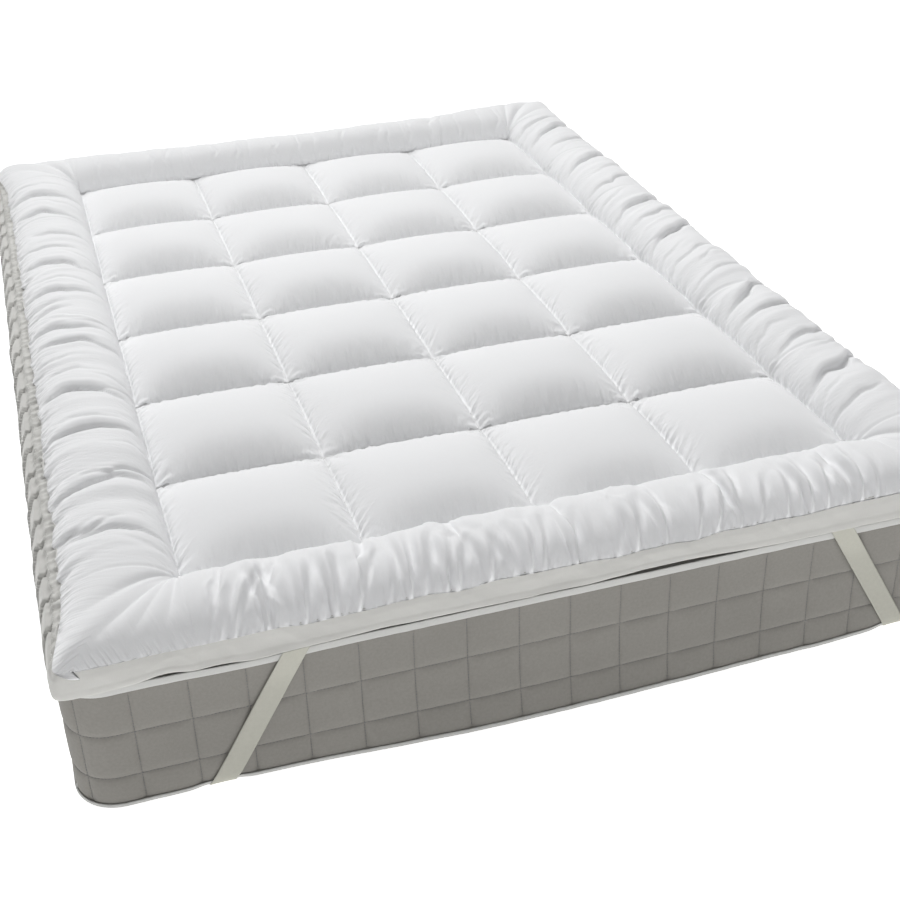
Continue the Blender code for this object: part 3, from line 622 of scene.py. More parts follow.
def sewn_down(steps):
    """Which points of the grid lie in a seam."""
    border = round(steps * BORDER_SHARE_OF_CELL)
    last_i, last_j = COLUMNS * steps + 2 * border, ROWS * steps + 2 * border
    i, j = np.meshgrid(np.arange(last_i + 1), np.arange(last_j + 1), indexing="ij")
    inside = (i >= border) & (i <= last_i - border) & (j >= border) & (j <= last_j - border)
    in_seam = inside & (((i - border) % steps == 0) | ((j - border) % steps == 0))
    return in_seam | (i == 0) | (i == last_i) | (j == 0) | (j == last_j)


SPARE_AT_SEAM, SPARE_AT_CROWN, SPARE_REACH = 0.022, 0.004, 0.040
SPARE_ON_ROLL, SPARE_AT_ROLL_SEAM, ROLL_SEAM_REACH = 0.018, 0.020, 0.16


Cut = namedtuple("Cut", "across along slant back_slant two_across two_along")


def cloth_lengths(points, steps):
    """Lengths that the cloth was cut to between neighbouring points, in both directions."""
    column, row, out_x, out_y, east, north = panel_places(steps)
    inside = np.maximum(out_x, out_y) == 0
    share = np.maximum(out_x, out_y)
    roll = SPARE_ON_ROLL + SPARE_AT_ROLL_SEAM * (
        np.exp(-((share / ROLL_SEAM_REACH) ** 2)) + np.exp(-(((1 - share) / ROLL_SEAM_REACH) ** 2))
    )
    spare = []
    for off, is_side in (
        (np.abs(row - np.rint(row)) * ROW_PITCH, out_y > out_x),
        (np.abs(column - np.rint(column)) * COLUMN_PITCH, out_x > out_y),
    ):
        square = SPARE_AT_CROWN + SPARE_AT_SEAM * np.exp(-((off / SPARE_REACH) ** 2))
        on_side = is_side & (np.minimum(out_x, out_y) == 0)
        spare.append(np.where(inside, square, np.where(on_side, roll, SPARE_AT_CROWN)))

    def cut(first, second, kinds):
        extra = sum(spare[kind][first] + spare[kind][second] for kind in kinds) / (2 * len(kinds))
        return (np.linalg.norm(points[second] - points[first], axis=-1) * (1 + extra)).astype(np.float32)

    low, high, all_but, most = slice(None, -1), slice(1, None), slice(None, -2), slice(2, None)
    every = slice(None)
    return Cut(
        cut((low, every), (high, every), (0,)), cut((every, low), (every, high), (1,)),
        cut((low, low), (high, high), (0, 1)), cut((high, low), (low, high), (0, 1)),
        cut((all_but, every), (most, every), (0,)), cut((every, all_but), (every, most), (1,)),
    )


def pull(first, second, length, share):
    """Moves two sets of points together or apart, towards a length between them."""
    apart = second - first
    now = np.sqrt(np.einsum("ijk,ijk->ij", apart, apart))
    apart *= (share * 0.5 * (1 - length / np.maximum(now, 1e-6)))[..., None]
    first += apart
    second -= apart


def pull_cloth(points, cut, bend, shear):
    """One sweep over the cloth's threads, its diagonals and its resistance to bending."""
    for k in (0, 1):
        second = points[k + 1::2]
        pull(points[k:-1:2][:len(second)], second, cut.across[k::2], 1.0)
        second = points[:, k + 1::2]
        pull(points[:, k:-1:2][:, :second.shape[1]], second, cut.along[:, k::2], 1.0)
        second = points[k + 1::2, 1:]
        pull(points[k:-1:2, :-1][:len(second)], second, cut.slant[k::2], shear)
        second = points[k + 1::2, :-1]
        pull(points[k:-1:2, 1:][:len(second)], second, cut.back_slant[k::2], shear)
    for k in range(4):
        first, second = points[k:-2:4], points[k + 2::4]
        count = min(len(first), len(second))
        pull(first[:count], second[:count], cut.two_across[k::4][:count], bend)
        first, second = points[:, k:-2:4], points[:, k + 2::4]
        count = min(first.shape[1], second.shape[1])
        pull(first[:, :count], second[:, :count], cut.two_along[:, k::4][:, :count], bend)


def halved_grid(points):
    """The grid with a point added half way between each two, on a smooth curve."""
    for _ in range(2):
        finer = np.empty((2 * len(points) - 1,) + points.shape[1:], points.dtype)
        finer[::2] = points
        padded = np.concatenate([2 * points[:1] - points[1:2], points, 2 * points[-1:] - points[-2:-1]])
        finer[1::2] = (9 * (padded[1:-2] + padded[2:-1]) - padded[:-3] - padded[3:]) / 16
        points = finer.swapaxes(0, 1)
    return np.ascontiguousarray(points)


# The cloth settles on its filling, first as a coarse grid and then twice as fine each time.
Settling = namedtuple("Settling", "steps rounds swell support bend unevenness")
SETTLINGS = [
    Settling(20, 40, 0.00003, 0.02, 0.05, 0.0006),
    Settling(40, 50, 0.00002, 0.02, 0.05, 0.0004),
    Settling(80, 60, 0.00001, 0.02, 0.05, 0.0002),
]
SHEAR_STIFFNESS, CARRY_ON = 0.2, 0.88
BY_BAND = 0.6


def settled_panel():
    draws = np.random.default_rng(3)
    points = None
    for settling in SETTLINGS:
        held = filled_shape(settling.steps)
        sewn = sewn_down(settling.steps)
        cut = cloth_lengths(held, settling.steps)
        points = held.copy() if points is None else halved_grid(points)
        height = draws.normal(0, settling.unevenness, points.shape[:2])
        points = points + (height * ~sewn)[..., None] * grid_normals(points)
        points, held = points.astype(np.float32), held.astype(np.float32)
        speed = np.zeros_like(points)
        for _ in range(settling.rounds):
            before = points.copy()
            points += speed * np.float32(CARRY_ON) + (held - points) * np.float32(settling.support)
            points += grid_normals(points) * np.float32(settling.swell)
            pull_cloth(points, cut, settling.bend, SHEAR_STIFFNESS)
            points[sewn] = held[sewn]
            speed = points - before
    steps = settling.steps
    height = seam_puckers(steps) + crossing_whiskers(steps) + fine_folds(steps)
    points = points + (height * ~sewn)[..., None] * grid_normals(points)
    # the roll's cloth stays above the seam to the band
    column, row, out_x, out_y, east, north = panel_places(steps)
    by_band = np.maximum(out_x, out_y) > BY_BAND
    seam = BAND_SEAM_Z + seam_lift(points[..., 0], points[..., 1])
    points[..., 2] = np.where(by_band, np.maximum(points[..., 2], seam), points[..., 2])
    return points, steps


def mesh_piece(name, points, faces, material, normals=None, puckers=None):
    """A smooth piece from arrays of points and of faces, each of one size."""
    mesh = bpy.data.meshes.new(name)
    faces = [np.asarray(group) for group in faces]
    sizes = np.concatenate([np.full(len(group), group.shape[1]) for group in faces])
    mesh.vertices.add(len(points))
    mesh.vertices.foreach_set("co", np.asarray(points, np.float32).ravel())
    mesh.loops.add(int(sizes.sum()))
    mesh.loops.foreach_set("vertex_index", np.concatenate([g.ravel() for g in faces]).astype(np.int32))
    mesh.polygons.add(len(sizes))
    starts = np.concatenate([[0], np.cumsum(sizes)[:-1]]).astype(np.int32)
    mesh.polygons.foreach_set("loop_start", starts)
    mesh.update(calc_edges=True)
    mesh.shade_smooth()
    if normals is not None:
        mesh.normals_split_custom_set_from_vertices(np.asarray(normals, np.float64).tolist())
    if puckers is not None:
        mesh.attributes.new("puckers", "FLOAT_VECTOR", "POINT").data.foreach_set(
            "vector", np.asarray(puckers, np.float32).ravel())
    mesh.materials.append(material)
    piece = bpy.data.objects.new(name, mesh)
    bpy.context.scene.collection.objects.link(piece)
    return piece


def grid_faces(count_i, count_j, ring_i=False, ring_j=False):
    """Four-sided faces over a grid of points, and round it where it closes on itself."""
    number = np.arange(count_i * count_j).reshape(count_i, count_j)
    if ring_i:
        number = np.concatenate([number, number[:1]])
    if ring_j:
        number = np.concatenate([number, number[:, :1]], axis=1)
    return np.stack([number[:-1, :-1], number[1:, :-1], number[1:, 1:], number[:-1, 1:]], -1).reshape(-1, 4)


class Wire:
    """A socket of a material, so that shader maths is written as plain expressions."""

    def __init__(self, tree, socket):
        self.tree, self.socket = tree, socket

    def maths(self, operation, first, second=0.0):
        return add_node(self.tree, "ShaderNodeMath", {"operation": operation}, {0: first, 1: second})

    def __add__(self, other):
        return self.maths("ADD", self, other)

    def __sub__(self, other):
        return self.maths("SUBTRACT", self, other)

    def __rsub__(self, other):
        return self.maths("SUBTRACT", other, self)

    def __mul__(self, other):
        return self.maths("MULTIPLY", self, other)

    __radd__, __rmul__ = __add__, __mul__


def add_node(tree, kind, settings, values, output=0):
    """Adds a node, sets its settings and then its sockets, and returns one of its outputs."""
    node = tree.nodes.new(kind)
    for name, setting in settings.items():
        if name == "stops":
            ramp = node.color_ramp.elements
            for k, (place, colour) in enumerate(setting):
                stop = ramp[k] if k < len(ramp) else ramp.new(place)
                stop.position, stop.color = place, colour
        else:
            setattr(node, name, setting)
    for name, value in values.items():
        if isinstance(value, Wire):
            tree.links.new(value.socket, node.inputs[name])
        else:
            node.inputs[name].default_value = value
    return Wire(tree, node.outputs[output])


def new_material(name):
    """A material with its shader's node tree, the shader and the place on the piece."""
    material = bpy.data.materials.new(name)
    material.use_nodes = True
    tree = material.node_tree
    place = add_node(tree, "ShaderNodeTexCoord", {}, {}, "Object")
    return material, tree, tree.nodes["Principled BSDF"], place


def colour_by(tree, shader, tint, shade, colour):
    mixed = add_node(
        tree, "ShaderNodeMix", {"data_type": "RGBA"}, {0: tint, 6: (*shade, 1.0), 7: (*colour, 1.0)}, 2
    )
    tree.links.new(mixed.socket, shader.inputs["Base Color"])


def raise_by(tree, shader, height, strength, distance):
    settings = {"Strength": strength, "Distance": distance, "Height": height}
    bump = add_node(tree, "ShaderNodeBump", {}, settings, 0)
    tree.links.new(bump.socket, shader.inputs["Normal"])


# Fine puckers: how far apart they are, how long, and their height
FINE_APART, FINE_LONG, FINE_HEIGHT = 0.0090, 0.075, 0.0034


def cloth_material(name, colour, shade, roughness, thread, weave_depth, streaks, puckered=False):
    """Plain woven cotton: threads both ways, slubs that wander along them, faint shade changes."""
    material, tree, shader, place = new_material(name)

    def threads(stretch, detail):
        stretched = add_node(tree, "ShaderNodeVectorMath", {"operation": "MULTIPLY"}, {0: place, 1: stretch})
        return add_node(
            tree, "ShaderNodeTexNoise", {}, {"Vector": stretched, "Scale": 1.0, "Detail": detail}, 0
        )

    fine = 1 / thread
    warp = threads((fine, fine * 0.10, fine * 0.4), 2.0)
    weft = threads((fine * 0.10, fine, fine * 0.4), 2.0)
    cloud = threads((5.0, 4.0, 5.0), 3.0)
    weave = (warp + weft) * 0.5
    tint = (weave - 0.5) * streaks + (cloud - 0.5) * 0.6 + 0.5
    colour_by(tree, shader, tint, shade, colour)
    height = weave * (0.35 * weave_depth)
    if puckered:
        marks = add_node(tree, "ShaderNodeAttribute", {"attribute_name": "puckers"}, {}, "Vector")
        strength = add_node(tree, "ShaderNodeSeparateXYZ", {}, {0: marks}, 2)
        spaced = add_node(tree, "ShaderNodeVectorMath", {"operation": "MULTIPLY"},
                          {0: marks, 1: (1 / FINE_APART, 1 / FINE_LONG, 0.0)})
        creases = add_node(tree, "ShaderNodeTexNoise", {"noise_dimensions": "2D"},
                           {"Vector": spaced, "Scale": 1.0, "Detail": 1.5, "Roughness": 0.6}, 0)
        height = height + (creases - 0.5) * strength * FINE_HEIGHT
    raise_by(tree, shader, height, 1.0, 1.0)
    shader.inputs["Roughness"].default_value = roughness
    shader.inputs["Specular IOR Level"].default_value = 0.25
    shader.inputs["Sheen Weight"].default_value = 0.15
    shader.inputs["Sheen Roughness"].default_value = 0.6
    return material


top_cotton = cloth_material(
    "top_cotton", (0.93, 0.932, 0.938), (0.86, 0.865, 0.875), 0.88, 0.0016, 0.0004, 0.8, puckered=True
)

panel, steps = settled_panel()
panel_normals = grid_normals(panel)
panel_puckers = fine_puckers(steps)
b = round(steps * BORDER_SHARE_OF_CELL)
last_i, last_j = panel.shape[0] - 1, panel.shape[1] - 1
HEM_Z = MATTRESS_HEIGHT + 0.0003
UNDERSIDE_Z = HEM_Z + 0.0007
CORE_INSET = 0.022


def panel_piece(name, i_first, i_last, j_first, j_last):
    """One part of the settled panel, closed by its filling's sides and flat underside."""
    part = panel[i_first:i_last + 1, j_first:j_last + 1]
    normals = panel_normals[i_first:i_last + 1, j_first:j_last + 1].reshape(-1, 3)
    puckers = panel_puckers[i_first:i_last + 1, j_first:j_last + 1].reshape(-1, 3)
    count_i, count_j = part.shape[:2]
    points = part.reshape(-1, 3)
    number = np.arange(len(points)).reshape(count_i, count_j)
    rim = np.concatenate([number[:-1, 0], number[-1, :-1], number[:0:-1, -1], number[0, :0:-1]])
    foot = points[rim].copy()
    i, j = rim // count_j + i_first, rim % count_j + j_first
    foot[:, 0] += CORE_INSET * ((i == 0).astype(int) - (i == last_i))
    foot[:, 1] += CORE_INSET * ((j == 0).astype(int) - (j == last_j))
    foot[:, 2] = UNDERSIDE_Z
    first = len(points)
    top_rim, foot_rim = first + np.arange(len(rim)), first + len(rim) + np.arange(len(rim))
    points = np.concatenate([points, points[rim], foot])
    down = np.tile([0.0, 0.0, -1.0], (len(rim), 1))
    sides = np.stack([top_rim, foot_rim, np.roll(foot_rim, -1), np.roll(top_rim, -1)], -1)
    piece = mesh_piece(
        name, points, [grid_faces(count_i, count_j), sides, foot_rim[None, ::-1]], top_cotton,
        np.concatenate([normals, normals[rim], down]),
        np.concatenate([puckers, puckers[rim], puckers[rim] * 0]),
    )
    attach(piece, "root")
    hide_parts("quilted_pad")


panel_piece("squares_foot", b, last_i - b, b, b + 2 * steps)
panel_piece("squares_middle", b, last_i - b, b + 2 * steps, b + 4 * steps)
panel_piece("squares_head", b, last_i - b, b + 4 * steps, last_j - b)
panel_piece("border_front", 0, last_i, 0, b)
panel_piece("border_back", 0, last_i, last_j - b, last_j)
panel_piece("border_left", 0, b, b, last_j - b)
panel_piece("border_right", last_i - b, last_i, b, last_j - b)


# The quilting thread: one small raised stitch after another, its ends drawn into the cloth
QUILT_THREAD_COLOUR, QUILT_THREAD_OFF_CLOTH = (0.80, 0.80, 0.79), 0.0005
STITCH_PITCH, STITCH_LENGTH, STITCH_WIDTH, STITCH_HEIGHT = 0.0048, 0.0038, 0.0011, 0.0005


def thread_material(name, colour):
    material, tree, shader, place = new_material(name)
    plies = add_node(tree, "ShaderNodeTexNoise", {}, {"Vector": place, "Scale": 900.0, "Detail": 2.0}, 0)
    colour_by(tree, shader, plies, [0.9 * part for part in colour], colour)
    shader.inputs["Roughness"].default_value = 0.6
    return material


def stitched_lines(name, lines, material):
    """A row of stitches along each of some lines, given as points and the cloth's outward ways."""
    points, faces = [], []
    for path, out in lines:
        path, out = np.asarray(path, float), np.asarray(out, float)
        run = np.concatenate([[0], np.cumsum(np.linalg.norm(np.diff(path, axis=0), axis=1))])
        starts = np.arange(STITCH_PITCH / 2, run[-1] - STITCH_LENGTH, STITCH_PITCH)[:, None]
        at = starts + STITCH_LENGTH * np.array([0, 0.5, 1])[None]
        start, middle, end = (np.stack([np.interp(a, run, path[:, k]) for k in range(3)], -1) for a in at.T)
        way_out = np.stack([np.interp(at[:, 1], run, out[:, k]) for k in range(3)], -1)
        aside = np.cross(way_out, end - start)
        aside *= STITCH_WIDTH / 2 / np.maximum(np.linalg.norm(aside, axis=1, keepdims=True), 1e-9)
        up = way_out * STITCH_HEIGHT
        first = sum(len(group) for group in points) + 6 * np.arange(len(starts))[:, None]
        stitch = [start, middle + aside, middle + up, middle - aside, middle - up, end]
        points.append(np.stack(stitch, 1).reshape(-1, 3))
        for a, b in ((1, 2), (2, 3), (3, 4), (4, 1)):
            faces += [first + [[0, b, a]], first + [[5, a, b]]]
    piece = mesh_piece(name, np.concatenate(points), faces, material)
    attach(piece, "root")
    return piece


seams = [panel[b + seam * steps, b:last_j - b + 1] for seam in range(COLUMNS + 1)]
seams += [panel[b:last_i - b + 1, b + seam * steps] for seam in range(ROWS + 1)]
seam_lines = [
    (seam + [0, 0, QUILT_THREAD_OFF_CLOTH], np.tile([0.0, 0.0, 1.0], (len(seam), 1))) for seam in seams
]
quilting_thread = thread_material("quilting_thread", QUILT_THREAD_COLOUR)
stitched_lines("quilting_stitches", seam_lines, quilting_thread)


# ---- Side band ---------------------------------------------------------------------------------
# A strip of the same cotton joins the top panel to the pad's underside. Its hem lies on the
# mattress and lifts a little at the foot; on the left the strip is longer than its seam, and the
# spare cloth hangs in overlapping drag folds below a second stitched line.
STATIONS_PER_SQUARE, STATIONS_PER_CORNER = (64, 44, 44, 110), 100
BAND_LEVELS = 20
BAND_CUT = (0.052, 6.40)
BAND_CLOTH = 0.0012
HEM_OUTSIDE_WALL = 0.0045
HEM_LIFT, FOOT_RIPPLE = 0.007, 0.0008
Lift = namedtuple("Lift", "at spread height")
FRONT_LIFTS = [
    Lift(-0.545, 0.026, 0.62), Lift(-0.470, 0.030, 0.50), Lift(-0.183, 0.130, 0.30), Lift(0.173, 0.105, 0.95)
]
BAND_DROP = [0.00, 0.30, 0.62, 1.00]
BAND_TO_SPLAY = [0.00, 0.75, 1.00, 1.00]
BAND_TO_HEM = [0.00, 0.00, 0.10, 1.00]
HEM_HEIGHT, HEM_STEP = 0.22, 0.0007

# Pleats of the left side, in squares from the front: where each starts below the second line, how
# far towards the foot it has drifted at the hem, and its height. Each hangs over the next one.
PLEATS = [
    (-0.44, 0.08, 0.0050), (-0.16, 0.18, 0.0080),
    (0.10, 0.24, 0.0060), (0.33, 0.28, 0.0080), (0.60, 0.34, 0.0095), (0.85, 0.36, 0.0070),
    (1.13, 0.38, 0.0100), (1.37, 0.38, 0.0080), (1.66, 0.40, 0.0095), (1.91, 0.39, 0.0070),
    (2.20, 0.42, 0.0100), (2.45, 0.40, 0.0085), (2.75, 0.42, 0.0100), (3.00, 0.41, 0.0080),
    (3.29, 0.42, 0.0095), (3.57, 0.41, 0.0085), (3.83, 0.41, 0.0100), (4.13, 0.41, 0.0080),
    (4.39, 0.40, 0.0095), (4.69, 0.40, 0.0080), (4.95, 0.38, 0.0090), (5.24, 0.36, 0.0080),
    (5.49, 0.32, 0.0080), (5.76, 0.28, 0.0060), (6.05, 0.22, 0.0070), (6.31, 0.14, 0.0050),
]
SECOND_LINE = 0.15
LINE_RIDGE, LINE_GROOVE, LINE_SPREAD, GROOVE_BELOW_LINE = 0.0030, 0.0038, 0.035, 0.09
SLOT_WIDTH, SLOT_DEPTH, SLOT_UNDERCUT, LIP_REACH = 0.0032, 0.0095, 0.0030, 0.0034
PLEAT_SHARE = 0.6


def border_stations():
    """Places round the outermost quilting seam, anticlockwise from the front left corner: start
    point, way out as an angle, place along the side in squares, and the side's number."""
    right, back = GRID_LEFT + COLUMNS * COLUMN_PITCH, GRID_FRONT + ROWS * ROW_PITCH
    corners = [(GRID_LEFT, GRID_FRONT), (right, GRID_FRONT), (right, back), (GRID_LEFT, back)]
    rows = []
    for side, squares in enumerate((COLUMNS, ROWS, COLUMNS, ROWS)):
        start, end = np.array(corners[side]), np.array(corners[(side + 1) % 4])
        count = squares * STATIONS_PER_SQUARE[side]
        share = np.arange(count + 1) / count
        along = share * squares if side < 2 else (1 - share) * squares
        angle = np.full(count + 1, 270.0 + 90 * side)
        rows.append(np.column_stack([start + (end - start) * share[:, None], angle, along,
                                     np.full(count + 1, side)]))
        turn = np.arange(1, STATIONS_PER_CORNER) / STATIONS_PER_CORNER
        rows.append(np.column_stack([np.tile(end, (len(turn), 1)), 270 + 90 * (side + turn), 90 * turn,
                                     np.full(len(turn), -1)]))
    x, y, angle, along, side = np.concatenate(rows).T
    return x, y, np.radians(angle), along, side


def station_reach(angle, along, side, width):
    """Distance from the stations to an outline; width(side, drawn) is a side's own distance."""
    east, north = np.cos(angle), np.sin(angle)
    off_axis = np.arctan2(np.abs(north), np.abs(east))
    sizes = []
    for positive, here, there, squares in ((east > 0, RIGHT, LEFT, ROWS), (north > 0, BACK, FRONT, COLUMNS)):
        drawn = [width(one, drawn_in(one, off_axis, along, squares, side < 0)) for one in (here, there)]
        sizes.append(np.where(positive, *drawn))
    power = CORNER_SQUARENESS
    return (np.abs(east / sizes[0]) ** power + np.abs(north / sizes[1]) ** power) ** (-1 / power)


station_x, station_y, station_angle, station_along, station_side = border_stations()
seam_out = station_reach(station_angle, station_along, station_side, lambda one, drawn: one.seam - drawn)
splay_out = station_reach(
    station_angle, station_along, station_side, lambda one, drawn: one.splay - one.follows * drawn
)
hem_out = HEM_OUTSIDE_WALL + station_reach(
    station_angle, station_along, station_side, lambda one, drawn: one.wall
)
band_seam_z = (BAND_SEAM_Z + seam_lift(
    station_x + seam_out * np.cos(station_angle), station_y + seam_out * np.sin(station_angle)
))[:, None]
outline_x = station_x + splay_out * np.cos(station_angle)
outline_y = station_y + splay_out * np.sin(station_angle)
station_length = np.cumsum(np.hypot(
    np.diff(outline_x, prepend=outline_x[0]), np.diff(outline_y, prepend=outline_y[0])
))
# how far a station belongs to the left side, and its place there in squares
LEFT_FADE, FOOT_FADE, FOOT_STRIP = 0.05, 0.040, 0.02
on_left = smooth(1 - (outline_x - outline_x.min()) / LEFT_FADE)
on_left = on_left * smooth((outline_y - outline_y.min()) / FOOT_FADE)
left_along = (outline_y - GRID_FRONT) / ROW_PITCH
at_foot = outline_y < outline_y.min() + FOOT_STRIP
lift = HEM_LIFT * at_foot * sum(
    one.height * np.exp(-(np.abs((outline_x - one.at) / one.spread) ** 2.6)) for one in FRONT_LIFTS
)
lift = lift + FOOT_RIPPLE * at_foot * np.clip(wander(outline_x / 0.05 + 30, 311, 2), 0, 2)
# at the front left corner the hem hangs a little over the mattress's edge, and the strap beside it
# pulls the edge down
HEM_DROOP, DROOP_SPREAD = 0.006, 0.105
DIP_X, DIP_SPREAD, EDGE_DIP = -0.43, 0.075, 0.0045
from_corner = np.hypot(outline_x - outline_x.min(), outline_y - outline_y.min())
hem_z = HEM_Z + lift - HEM_DROOP * np.exp(-((from_corner / DROOP_SPREAD) ** 4))
hem_z = hem_z - EDGE_DIP * at_foot * np.exp(-(((outline_x - DIP_X) / DIP_SPREAD) ** 2))


def on_stations(out, z):
    """Points at distances out and heights z from the stations."""
    return np.stack([
        station_x[:, None] + out * np.cos(station_angle)[:, None],
        station_y[:, None] + out * np.sin(station_angle)[:, None],
        z + 0 * out,
    ], -1)


ON_STRIP, STRIP_STEP = Puckers(0.0150, 0.008, 0.026, 0.0046, 0.0034, -0.8), 0.0024


def band_relief(fall):
    """How far the band's cloth stands off its plain section, by station and share of its fall, and
    how far it is tucked under the next pleat."""
    length = station_length[:, None]
    level = fall[None, :]
    left = on_left[:, None]
    slack = np.sin(np.pi * np.clip(level, 0, 1)) ** 0.7
    relief = 0.0007 * wander(length / 0.11 + 0.8 * level, 301) * slack
    relief += 0.0004 * wander(length / 0.035 - 1.2 * level, 302) * slack
    # puckers at the seam, dense and deep on the left
    strength = 0.0004 * np.clip(0.7 + 0.5 * wander(length / 0.04, 303), 0, 1.6)
    phase = (length - 0.1 * level * 0.043) / 0.0145 + 0.6 * wander(length / 0.05, 304)
    relief += (1 - left) * strength * np.sin(2 * np.pi * phase) * np.exp(-((level / 0.16) ** 2))
    strip_y = np.arange(outline_y.min(), outline_y.max() + STRIP_STEP, STRIP_STEP)
    strip = np.zeros((len(fall), len(strip_y)))
    draws = np.random.default_rng(305)
    for _ in range(2):
        pucker_strip(strip, BAND_CUT[0] / BAND_LEVELS, STRIP_STEP, ON_STRIP, draws)
    strip = np.stack([np.interp(outline_y, strip_y, row) for row in strip], 1)
    relief += left * strip * np.exp(-((fall / 0.35) ** 2))
    # the second line and the pleats below it
    below = np.clip((level - SECOND_LINE) / (1 - SECOND_LINE), 0, 1)
    at, drift, height = (np.array(column)[:, None] for column in zip(*PLEATS))
    lines = np.concatenate([at - drift * below**1.4, np.full_like(below, ROWS + 0.6)])
    along = left_along[:, None, None]
    which = np.clip((along >= lines.T[None]).sum(-1) - 1, 0, len(PLEATS) - 1)
    levels = np.broadcast_to(np.arange(len(fall)), which.shape)
    start, end = lines[which, levels], lines[which + 1, levels]
    up = np.clip((along[..., 0] - start) / (end - start), 0, 1)
    slot, lip = (
        np.exp(-((part * (end - start) * ROW_PITCH / SLOT_WIDTH) ** 2)) for part in (1 - up, up)
    )
    overhang = PLEAT_SHARE * height[which, 0] * (1 - up) ** 1.3 - SLOT_DEPTH * slot
    shown = np.clip(below / 0.16, 0, 1) * (1 - 0.5 * below)
    tucked = left * shown * (SLOT_UNDERCUT * slot - LIP_REACH * lip)
    ridge = LINE_RIDGE * np.exp(-(((level - SECOND_LINE) / LINE_SPREAD) ** 2))
    groove = LINE_GROOVE * np.exp(-(((level - SECOND_LINE - GROOVE_BELOW_LINE) / LINE_SPREAD) ** 2))
    relief += left * (overhang * shown + ridge - groove)
    relief += HEM_STEP * np.clip((level - (1 - HEM_HEIGHT)) / 0.03, 0, 1)
    return relief, tucked


def band_faces():
    """The band's outer and inner faces as grids of points, by station and level."""
    fall = np.linspace(0, 1, BAND_LEVELS + 1)
    to_splay = np.interp(fall, BAND_DROP, BAND_TO_SPLAY)[None]
    to_hem = np.interp(fall, BAND_DROP, BAND_TO_HEM)[None]
    for _ in range(2):
        to_splay[:, 1:-1] = (to_splay[:, :-2] + 2 * to_splay[:, 1:-1] + to_splay[:, 2:]) / 4
        to_hem[:, 1:-1] = (to_hem[:, :-2] + 2 * to_hem[:, 1:-1] + to_hem[:, 2:]) / 4
    out = seam_out[:, None] + (splay_out - seam_out)[:, None] * to_splay
    out = out + (hem_out[:, None] - out) * to_hem
    top, foot = band_seam_z - 0.0006, hem_z[:, None]
    z = top + (foot - top) * fall[None]
    run_out, run_z = np.gradient(out, axis=1), np.gradient(z, axis=1)
    length = np.hypot(run_out, run_z)
    way_out, way_z = -run_z / length, run_out / length
    relief, tucked = band_relief(fall)
    relief[:, 0] = 0
    outer = on_stations(out + way_out * relief, z + way_z * relief)
    thin = relief - BAND_CLOTH
    inner = on_stations(out + way_out * thin, np.maximum(z + way_z * thin, hem_z[:, None]))
    outer[..., 1] += tucked
    inner[..., 1] += tucked
    return outer, inner


# Painted shade: the band is the same cotton as the top, but its colour is painted about a third darker to
# stand in for the shade on the band's steep sides.
band_cotton = cloth_material(
    "band_cotton", (0.67, 0.665, 0.635), (0.61, 0.605, 0.58), 0.88, 0.0014, 0.0004, 0.8
)
outer, inner = band_faces()
loop = np.concatenate([outer, inner[:, ::-1]], axis=1)
band_cloth = mesh_piece(
    "band_cloth", loop.reshape(-1, 3), [grid_faces(*loop.shape[:2], ring_i=True, ring_j=True)[:, ::-1]],
    band_cotton,
)
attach(band_cloth, "root")
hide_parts("side_band")


# The second line's stitches on the left
SECOND_LINE_LEVEL = round(BAND_LEVELS * SECOND_LINE)
BAND_THREAD_OFF_CLOTH = 0.0006
outer_normals = -grid_normals(outer)[on_left > 0.3, SECOND_LINE_LEVEL]
second_line = outer[on_left > 0.3, SECOND_LINE_LEVEL] + BAND_THREAD_OFF_CLOTH * outer_normals
stitched_lines(
    "band_stitches", [(second_line, outer_normals)], thread_material("band_thread", (0.80, 0.795, 0.77)),
)


# The seam between top and band, turned as a narrow welt
WELT_RADIUS, WELT_SIDES = 0.0014, 8
welt_wander = (0.0003 + 0.0013 * on_left) * wander(station_length / 0.028, 310)
round_angle = np.linspace(0, 2 * np.pi, WELT_SIDES, endpoint=False)[None]
welt = on_stations(
    (seam_out + welt_wander)[:, None] + WELT_RADIUS * np.cos(round_angle),
    band_seam_z + (0.6 * welt_wander)[:, None] + WELT_RADIUS * np.sin(round_angle),
)
# The welt uses the band's cotton, whose darker colour is painted shade.
seam_welt = mesh_piece(
    "seam_welt", welt.reshape(-1, 3), [grid_faces(*welt.shape[:2], ring_i=True, ring_j=True)], band_cotton
)
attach(seam_welt, "root")


# ---- Mattress ----------------------------------------------------------------------------------
# A plain foam or spring mattress in a taupe knitted ticking, its border quilted in squares through
# a thin wadding with blue-grey thread.
MATTRESS_CORNER = 0.062
WALL_SQUARE = 0.0768
FIRST_WALL_LINE_X = -0.597
WALL_LINE_HEIGHTS = (0.0520, 0.1255)
WALL_PUFF, WALL_GROOVE_WIDTH, WALL_OUT = 0.0028, 0.0045, 0.0004
WALL_WRINKLE = 0.00025
EDGE_INSET = [0.0060, 0.0015, 0.0000, 0.000, 0.004, 0.014]
EDGE_HEIGHT = [0.0000, 0.0007, 0.0025, 0.1965, 0.2065, 0.2105]
STEPS_PER_WALL_SQUARE = 14
straight_x, straight_y = MATTRESS_WIDTH - 2 * MATTRESS_CORNER, MATTRESS_LENGTH - 2 * MATTRESS_CORNER
quarter = MATTRESS_CORNER * math.pi / 2
PERIMETER = 2 * (straight_x + straight_y) + 4 * quarter


